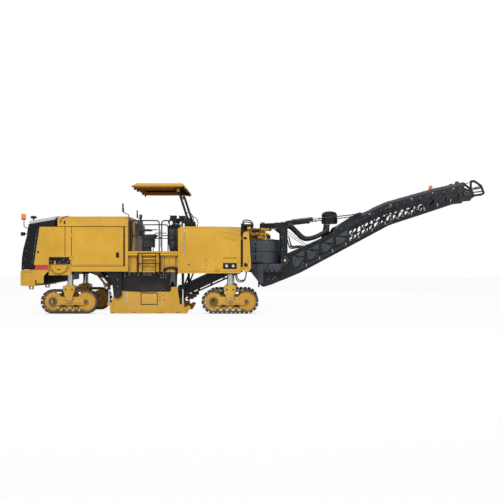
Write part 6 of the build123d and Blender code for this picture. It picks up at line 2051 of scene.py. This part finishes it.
@dataclass
class LiftCylinders:
    """Glands, clevis plates and hose ports on the boom's lift cylinders."""

    rear: Point = (0.96, -0.67, 2.862)
    front: Point = (3.30, -0.67, 3.132)

    def _at(self, along: float, up: float = 0.0) -> Vector:
        """Point a distance along the cylinder and above it."""
        way = (Vector(self.front) - Vector(self.rear)).normalized()
        return Vector(self.rear) + way * along + Vector((-way.z, 0, way.x)) * up

    def build(self) -> None:
        """Build both cylinders' details."""
        way = self._at(1) - self._at(0)
        bands = Piece("lift_barrel_bands", Finish.SATIN, "lift_barrel_pair")
        for along, radius, length in ((0.17, 0.060, 0.03), (0.45, 0.056, 0.02), (0.77, 0.064, 0.05)):
            bands.ring(self._at(along), collar(0.0525, radius, length), 24, way)
        bands.pipe([self._at(a, 0.066) for a in (0.20, 0.50, 0.79)], 0.009)
        for along in (0.20, 0.79):
            bands.rod(self._at(along, 0.04), self._at(along, 0.078), 0.016, sides=10)
        bands.pair()
        gland = ((0, 0), (0.03, 0), (0.036, 0.04), (0.036, 0.09), (0, 0.09))
        Piece("lift_rod_fittings", Finish.SATIN, "lift_rod_pair").ring(self._at(2.20), gland, 20, way).pair()
        Piece(
            "lift_chrome", Finish.CHROME, "lift_rod_pair"
        ).rod(self._at(0.70), self._at(1.03), 0.0292).pair()


@dataclass
class LowerConveyor:
    """Side flanges, ribs, rollers and nose of the trough between the chamber and the skirt."""

    pass_x: float = -1.15
    pass_z: float = 1.064
    slope: float = radians(24.9)

    def _at(self, along: float, up: float, y: float) -> Vector:
        """Point along the trough from its passing point, above its underside."""
        c, s = cos(self.slope), sin(self.slope)
        return Vector((self.pass_x + along * c - up * s, y, self.pass_z + along * s + up * c))

    def _beam(self, piece: Piece, a: Flat, b: Flat, thick: float, low: float, high: float) -> None:
        """Add a flat bar between two points given along and above the trough.

        Args:
            piece: the piece that gets it.
            a: one end.
            b: the other end.
            thick: the bar's height.
            low: its lowest y.
            high: its highest y.
        """
        p, q = self._at(*a, 0), self._at(*b, 0)
        side = Vector((-(q - p).z, 0, (q - p).x)).normalized() * thick / 2
        piece.plate([(v.x, v.z) for v in (p - side, q - side, q + side, p + side)], low, high, 0.003)

    def build(self) -> None:
        """Build the trough's details."""
        black = Piece("trough_flanges", Finish.SATIN)
        for up in (0.012, 0.328):
            self._beam(black, (-1.62, up), (0.95, up), 0.03, -0.378, -0.346)
        for along in spread(-1.5, 0.6, 8):
            self._beam(black, (along, 0.02), (along, 0.32), 0.026, -0.366, -0.348)
        self._beam(black, (-1.35, -0.05), (0.75, -0.07), 0.05, -0.30, -0.26)
        for along in spread(-1.3, 0.5, 5):
            self._beam(black, (along, -0.06), (along + 0.1, 0.02), 0.03, -0.29, -0.27)
        black.pair()
        # Pale strips along the black flanges: painted highlight.
        pale = Piece("trough_edge_highlights", Finish.BOLT)
        self._beam(pale, (-1.2, 0.30), (-0.15, 0.30), 0.008, -0.3825, -0.377)
        self._beam(pale, (-0.6, 0.03), (0.2, 0.03), 0.008, -0.3825, -0.377)
        pale.pair()
        rollers = Piece("trough_rollers", Finish.STEEL)
        for along in spread(-1.2, 0.7, 6):
            rollers.rod(self._at(along, 0.055, -0.325), self._at(along, 0.055, 0.325), 0.022, sides=14)
        rollers.ready()
        nose = Piece("trough_nose_arms", Finish.BLACK)
        arm = ((-2.20, 0.45), (-2.05, 0.62), (-1.93, 0.60), (-1.92, 0.50), (-2.02, 0.50), (-2.10, 0.40))
        nose.plate(arm, -0.90, -0.84, 0.008)
        nose.rod((-2.06, -0.87, 0.56), (-2.40, -0.87, 0.72), 0.04)
        nose.rod((-2.02, -0.92, 0.46), (-2.02, -0.40, 0.46), 0.030)
        nose.plate(((-2.45, 0.60), (-2.30, 0.90), (-2.22, 0.90), (-2.34, 0.56)), -0.88, -0.80, 0.008)
        nose.rod((-2.26, -0.84, 0.88), (-2.10, -0.84, 1.27), 0.026)
        nose.plate(((-2.60, 0.72), (-2.55, 0.80), (-2.30, 0.80), (-2.32, 0.70)), -1.0, -0.80, 0.008).pair()


@dataclass
class BoomInside(BoomSide):
    """Boards, idlers and stiffeners that close the truss, and the guard's heavy hoops."""

    body: str = "conveyor"

    def boards(self) -> None:
        """Skirt boards beside the belt, the guard under its return run, and idlers."""
        dark = Piece("belt_boards", Finish.SATIN, self.body)
        tops = self.at(self.top, (2.98, 3.6, 4.13, 4.9, 5.69, 6.3, 6.62))
        lows = self.at(self.bottom, (2.98, 3.6, 4.215, 4.9, 5.383, 6.0, 6.5))
        for side in (-0.425, 0.417):
            for line, rise, fall in ((tops, -0.03, -0.215), (lows, 0.125, 0.03)):
                outline = [(x, z + rise) for x, z in line] + [(x, z + fall) for x, z in reversed(line)]
                dark.plate(outline, side, side + 0.008)
        for low in (-0.432, 0.424):
            dark.plate(((5.55, 3.30), (6.60, 3.62), (6.60, 3.92), (5.75, 3.72)), low, low + 0.008)
        for x in spread(3.15, 6.35, 8):
            z = (self.height(self.bottom, x) + self.height(self.top, x)) / 2
            wing = ((x - 0.07, z - 0.09), (x + 0.05, z - 0.03), (x + 0.09, z + 0.09), (x - 0.03, z + 0.05))
            dark.plate(wing, -0.44, -0.405, 0.004).rod((x, -0.44, z), (x, 0.44, z), 0.03, sides=12)
        dark.ready()

    def panels(self) -> None:
        """Panels in the side pockets, paler as a painted reflection, with the diagonal ribs over them, and
        the cover's bands of painted sheen.
        """
        y = self.y
        # Panels paler than the black boom: painted reflection.
        pale = Piece("pocket_sheen_panels", Finish.SHEET, self.body)
        ribs = Piece("pocket_ribs", Finish.SATIN, self.body)
        for x0, x1 in ((1.14, 1.56), (1.60, 2.02), (2.06, 2.48), (2.52, 2.94)):
            low0, low1 = (z for _, z in self.at(self.bottom, (x0, x1), 0.16))
            high0, high1 = (z for _, z in self.at(self.top, (x0, x1), -0.10))
            middle, low = (x0 + x1) / 2, (low0 + low1) / 2
            rear = (
                (x0 + 0.03, high0 - 0.06), (x0 + 0.03, low0 + 0.16), (middle - 0.02, low + 0.05),
                (x1 - 0.02, high1 - 0.30)
            )
            under = ((middle + 0.05, low + 0.03), (x1 - 0.03, low1 + 0.05), (x1 - 0.03, high1 - 0.36))
            over = ((x0 + 0.08, high0 - 0.02), (x1 - 0.03, high1 - 0.24), (x1 - 0.03, high1 - 0.06))
            for outline in (rear, under, over):
                pale.plate(outline, y - 0.006, y + 0.008, 0.003)
            ribs.rod((x0, y - 0.004, high0), (x1, y - 0.004, low1 + 0.10), 0.014, sides=8)
            ribs.rod((x0, y - 0.004, low0), (middle, y - 0.004, (high0 + high1) / 2), 0.010, sides=8)
        pale.pair()
        ribs.pair()
        # Grey band under the cover's crown: painted sheen.
        bands = Piece("cover_sheen_bands", Finish.SHEET, self.body)
        for (x0, z0), (x1, z1) in zip(self.crown, self.crown[1:]):
            bands.plate(
                ((x0, z0 - 0.012), (x1, z1 - 0.012), (x1, z1 - 0.085), (x0, z0 - 0.085)), y - 0.008, y + 0.002
            )
        bands.pair()

    def build(self) -> None:
        """Build everything inside the boom, and the heavy round hoops over the guard at its head."""
        self.boards()
        self.panels()
        hoops = Piece("guard_hoops", Finish.SATIN, self.body)
        hoop = (
            (6.85, 3.86), (6.85, 4.17), (6.96, 4.18), (7.165, 4.04), (7.262, 3.80), (7.17, 3.755),
            (6.88, 3.72)
        )
        for y in (-0.521, 0.521):
            hoops.pipe([(x, y, z) for x, z in hoop], 0.034, 0.10, 12)
            hoops.pipe(((6.86, y, 3.93), (7.20, y, 3.99)), 0.020, 0, 10)
            hoops.pipe(((6.86, y, 3.82), (7.24, y, 3.86)), 0.020, 0, 10)
        hoops.ready()


@dataclass
class SwingDress:
    """Cylinders, flanges, lower curtain and hoses round the swing joint."""

    swing_x: float = 0.22
    radius: float = 0.62
    clamp_z: float = 1.60

    def actuators(self) -> None:
        """Yellow cylinders beside the bracket, and flanges in yellow paint darkened as painted shade."""
        yellow = Piece("slew_bodies", Finish.YELLOW)
        yellow.rod((-0.13, -0.33, 2.665), (0.50, -0.22, 2.665), 0.036, bevel=0.004)
        yellow.rod((-0.10, -0.33, 2.50), (0.42, -0.24, 2.50), 0.030, bevel=0.004)
        yellow.rod((-0.235, -0.50, 2.70), (-0.235, -0.42, 2.70), 0.06, bevel=0.006)
        yellow.rod((0.30, -0.36, 2.42), (0.30, -0.36, 2.66), 0.028, bevel=0.004)
        yellow.block((0.18, -0.50, 2.322), (0.56, -0.20, 2.342), 0.004).pair()
        # Flanges in darker yellow: painted shade.
        brown = Piece("slew_flanges", Finish.SHADE_YELLOW).block(
            (-0.20, -0.40, 2.45), (-0.02, -0.24, 2.70), 0.02
        )
        brown.ball((0.02, -0.36, 2.53), 0.085).ball((-0.26, -0.46, 2.55), 0.075)
        brown.block((0.05, -0.44, 2.34), (0.22, -0.24, 2.44), 0.012).pair()
        black = Piece("slew_glands", Finish.BLACK)
        for x in (0.12, 0.30, 0.44):
            black.ring(
                (x, -0.33 + (x + 0.13) * 0.175, 2.665), collar(0.034, 0.05, 0.02, -0.01), 18, (1, 0.17, 0)
            )
        black.blocks(
            0.01, (-0.14, -0.46, 2.56, 0.10, -0.37, 2.66), (0.34, -0.42, 2.33, 0.46, -0.26, 2.47),
            (-0.49, -0.60, 2.36, -0.42, -0.30, 2.62),
        ).pair()

    def curtain(self) -> None:
        """Rubber curtain from the fixed skirt down to the tail, its clamp, straps and side markers."""
        clamp, rubber = Piece("curtain_clamp", Finish.BLACK), Piece("tail_curtains", Finish.SKIRT)
        angles = spread(radians(-90), radians(-139), 12)
        for a, b in zip(angles, angles[1:]):
            middle = (a + b) / 2
            out, turn = Vector((cos(middle), sin(middle), 0)), Matrix.Rotation(middle + pi / 2, 3, "Z")
            x = self.swing_x + self.radius * out.x
            hang = 0.92 + max(0.0, 0.12 - x) * 1.25
            half = self.radius * abs(b - a) / 2 + 0.001
            centre = Vector((self.swing_x, 0, (hang + self.clamp_z) / 2)) + out * self.radius
            rubber.around(centre, (half, 0.005, (self.clamp_z - hang) / 2), 0.0, turn)
            for z, tall, deep, shift in ((1.58, 0.02, 0.045, -0.036), (1.57, 0.03, 0.008, 0.006)):
                clamp.around(
                    Vector((self.swing_x, 0, z)) + out * (self.radius + shift), (half, deep, tall), 0.0, turn
                )
        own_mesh(rubber.pair())
        clamp.pair()
        Piece("tail_straps", Finish.RUBBER, "conveyor").block(
            (0.065, -0.40, 0.80), (0.112, -0.33, 1.26), 0.004
        ).pair()
        light = Piece("mast_markers", Finish.PALE_YELLOW, "swing")
        light.block((0.875, -0.647, 1.62), (0.945, -0.655, 1.69), 0.004).pair()

    def crossing(self) -> None:
        """Hoses and cables from the masts to the boom."""
        across = ("conveyor", (1.02, 0, 2.35), (1.50, 0, 2.10))
        cable = ((0.99, 0.50, 2.60), (1.25, 0.48, 2.40), (1.60, 0.45, 2.16))
        for name, side in SIDES:
            hoses = Piece(f"boom_feed_hoses_{name}", Finish.HOSE, "swing")
            for drop in (0.0, 0.05):
                route = (
                    (0.98, 0.56, 2.42), (1.04, 0.57, 2.40), (1.12, 0.57, 2.09 - drop),
                    (1.36, 0.52, 2.13 - drop),
                    (1.56, 0.46, 2.10),
                )
                hoses.pipe([(x, side * (y - drop), z) for x, y, z in route], 0.017, 0.10, 10)
            hoses.ready(across=across)
            cables = Piece(f"boom_cables_{name}", Finish.STEEL, "swing")
            cables.pipe([(x, side * y, z) for x, y, z in cable], 0.010, 0.2).ready(across=across)

    def build(self) -> None:
        """Build the joint's cylinders, curtain and hoses."""
        self.actuators()
        self.curtain()
        self.crossing()


@dataclass(frozen=True)
class Hose:
    """A free hose that leaves the machine and goes back into it."""

    name: str
    route: tuple[Point, ...]
    diameter: float
    length: float

    def build(self) -> bpy.types.Object:
        """Lay the hose along its route, as a tube round the route's own spline.

        Returns:
            The tube, riding on the chassis.
        """
        curve = bpy.data.curves.new(self.name, "CURVE")
        curve.dimensions = "3D"
        line = curve.splines.new("NURBS")
        line.points.add(len(self.route) - 1)
        for point, place in zip(line.points, self.route):
            point.co = (*place, 1.0)
        line.order_u, line.resolution_u, line.use_endpoint_u = 3, 10, True
        guide = bpy.data.objects.new(self.name + "_line", curve)
        path = [tuple(v.co) for v in bpy.data.meshes.new_from_object(guide).vertices]
        made = Piece(self.name, Finish.HOSE).pipe(path, self.diameter / 2, 0, 14).ready()
        bpy.data.objects.remove(guide)
        return made


@dataclass
class Hoses:
    """Every free hose of the machine, by its route on the left side."""

    leg: tuple[Point, ...] = (
        (-0.645, 0.97, 1.256), (-0.655, 0.97, 1.10), (-0.58, 0.98, 0.985),
        (-0.42, 1.00, 0.975), (-0.33, 1.06, 1.08), (-0.32, 1.12, 1.299),
    )
    swing: tuple[Point, ...] = (
        (-0.43, 0.50, 2.826), (-0.435, 0.51, 2.91), (-0.35, 0.53, 2.95),
        (-0.20, 0.53, 2.93), (-0.12, 0.50, 2.87), (-0.11, 0.43, 2.79),
    )

    def build(self) -> None:
        """Lay them on both sides."""
        for name, side in SIDES:
            leg, swing = (tuple((x, side * y, z) for x, y, z in route) for route in (self.leg, self.swing))
            low = Hose(f"leg_hose_{name}", leg, 0.036, 0.80).build()
            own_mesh(low)
            Hose(f"swing_hose_{name}", swing, 0.038, 0.52).build()


# Stage, light and camera


@dataclass
class Studio:
    """Pale floor, soft light and the camera at the photograph's place."""

    camera_place: Point = (-0.2, -23.5, 1.54)
    lens: float = 51.84
    sensor: float = 36.0
    shift_up: float = 0.028
    floor_half: float = 60.0
    sky: float = 0.46
    lamps: tuple = (
        ("key", (-5.0, -15.0, 12.0), (0.5, 0, 1.6), (12.0, 8.0), 1800.0),
        ("fill", (12.0, -14.0, 7.0), (1.0, 0, 2.0), (9.0, 6.0), 520.0),
        ("rim", (0.0, 14.0, 13.0), (0, 0, 2.0), (16.0, 6.0), 1500.0),
    )

    @staticmethod
    def _shown(name: str, data: bpy.types.ID) -> bpy.types.Object:
        """Make an object and link it to the scene.

        Args:
            name: its name.
            data: its data.

        Returns:
            The new object.
        """
        made = bpy.data.objects.new(name, data)
        bpy.context.scene.collection.objects.link(made)
        return made

    def camera(self) -> None:
        """Create the camera, level and looking along +Y."""
        data = bpy.data.cameras.new("camera")
        data.lens, data.sensor_width, data.sensor_fit = self.lens, self.sensor, "HORIZONTAL"
        data.shift_y, data.clip_end = self.shift_up, 300.0
        made = self._shown("camera", data)
        made.location = self.camera_place
        made.rotation_euler = (radians(90), 0, 0)
        bpy.context.scene.camera = made

    def world(self) -> None:
        """White to the camera, and a softer grey as light."""
        made = bpy.context.scene.world = bpy.data.worlds.new("studio")
        made.use_nodes = True
        tree = made.node_tree
        path, seen, strength = (
            tree.nodes.new("ShaderNode" + kind) for kind in ("LightPath", "Math", "MapRange")
        )
        seen.operation = "MAXIMUM"
        background = tree.nodes["Background"]
        background.inputs[0].default_value = (1, 1, 1, 1)
        strength.inputs[3].default_value, strength.inputs[4].default_value = self.sky, 1.0
        for output, socket in (
            (path.outputs["Is Camera Ray"], seen.inputs[0]),
            (path.outputs["Is Transmission Ray"], seen.inputs[1]),
            (seen.outputs[0], strength.inputs[0]), (strength.outputs[0], background.inputs[1]),
        ):
            tree.links.new(output, socket)

    def floor(self) -> None:
        """Lay the floor: pale, whiter to the camera, and still taking shadows; near the machine ambient
        occlusion fades its glow, a painted contact shadow.
        """
        mesh = bmesh.new()
        bmesh.ops.create_grid(mesh, x_segments=1, y_segments=1, size=self.floor_half)
        bmesh.ops.translate(mesh, verts=mesh.verts, vec=(0, 0, -0.0005))
        data = bpy.data.meshes.new("floor")
        mesh.to_mesh(data)
        mesh.free()
        made = self._shown("floor", data)
        graph = Graph("floor_finish")
        graph.finish((0.90, 0.90, 0.90), 0.9, None, 0.0)
        glow = graph.node("ShaderNodeEmission", {}, {0: (1, 1, 1, 1), 1: 1.0})
        path = graph.node("ShaderNodeLightPath", {}, {}, "Is Camera Ray")
        open_sky = graph.node("ShaderNodeAmbientOcclusion", {"samples": 8}, {"Distance": 0.5}, "AO")
        lit = Socket(graph, graph.shader.outputs[0])
        # Ambient occlusion turns the camera's white glow down near the machine, so the lit floor shows there:
        # a painted contact shadow over the real shadows.
        mixed = graph.node(
            "ShaderNodeMixShader", {}, {0: path * open_sky.ramp(0.15, 0.8, 0.25, 0.93), 1: lit, 2: glow}
        )
        graph.feed(graph.tree.nodes["Material Output"], {"Surface": mixed})
        data.materials.append(graph.material)

    def lamp(self, name: str, place: Point, aim: Point, size: Flat, power: float) -> None:
        """Hang a soft box.

        Args:
            name: its name.
            place: where it hangs.
            aim: what it points at.
            size: its width and height in metres.
            power: its power in watts.
        """
        data = bpy.data.lights.new(name, "AREA")
        data.shape, data.energy = "RECTANGLE", power
        data.size, data.size_y = size
        made = self._shown(name, data)
        made.location = place
        made.rotation_euler = (Vector(aim) - Vector(place)).to_track_quat("-Z", "Y").to_euler()

    def build(self) -> None:
        """Set the whole stage."""
        self.camera()
        self.world()
        self.floor()
        for lamp in self.lamps:
            self.lamp(*lamp)
        bpy.context.scene.view_settings.view_transform = "Standard"


@dataclass
class CadFinishes:
    """The finish of every node that keeps its own shape: its slot's, unless it is named here."""

    satin: tuple[str, ...] = (
        "boom_frame", "swing_frame", "lower_conveyor", "head_guard", "lift_barrels", "lift_rods",
        "boom_cover",
    )
    others: tuple[tuple[str, Finish], ...] = (
        ("boom_belt", Finish.RUBBER), ("cooling_grille", Finish.PALE_SHEET),
        # rear_cabinet: yellow paint darkened as painted shade.
        ("rear_cabinet", Finish.SHADE_YELLOW),
        ("transfer_skirt", Finish.SKIRT), ("swing_skirt", Finish.SKIRT),
    )

    def build(self, nodes: dict[str, bpy.types.Object], record: dict) -> None:
        """Dress the nodes.

        Args:
            nodes: the frame's objects by node name.
            record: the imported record.
        """
        by_slot = {f.value.name: f for f in Finish}
        chosen = {**dict.fromkeys(self.satin, Finish.SATIN), **dict(self.others)}
        for part in record["subparts"]:
            name = part["node"]
            finish = chosen.get(name) or by_slot[part["material_slot"]]
            data = nodes[name].data
            data.materials.clear()
            data.materials.append(finish.made())
            log.info("%s: %s", name, finish.name)


FITTINGS = (
    Crawlers, Drum, MillingBox, SidePlates, RearBrackets, RearEnd, EngineHouse, Platform, OperatorSeat,
    Consoles,
    Canopy, FrontBody, SwingJoint, Boom, DustExtractor, LiftCylinders, LowerConveyor, BoomInside, SwingDress,
    Hoses,
)


def main() -> None:
    """Load the frame, dress it and build every fitting in order."""
    logging.basicConfig(level=logging.INFO, format="%(message)s")
    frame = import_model()
    Studio().build()
    CadFinishes().build(frame["nodes"], frame["record"])
    for part in FITTINGS:
        part().build()


if __name__ == "__main__":
    main()
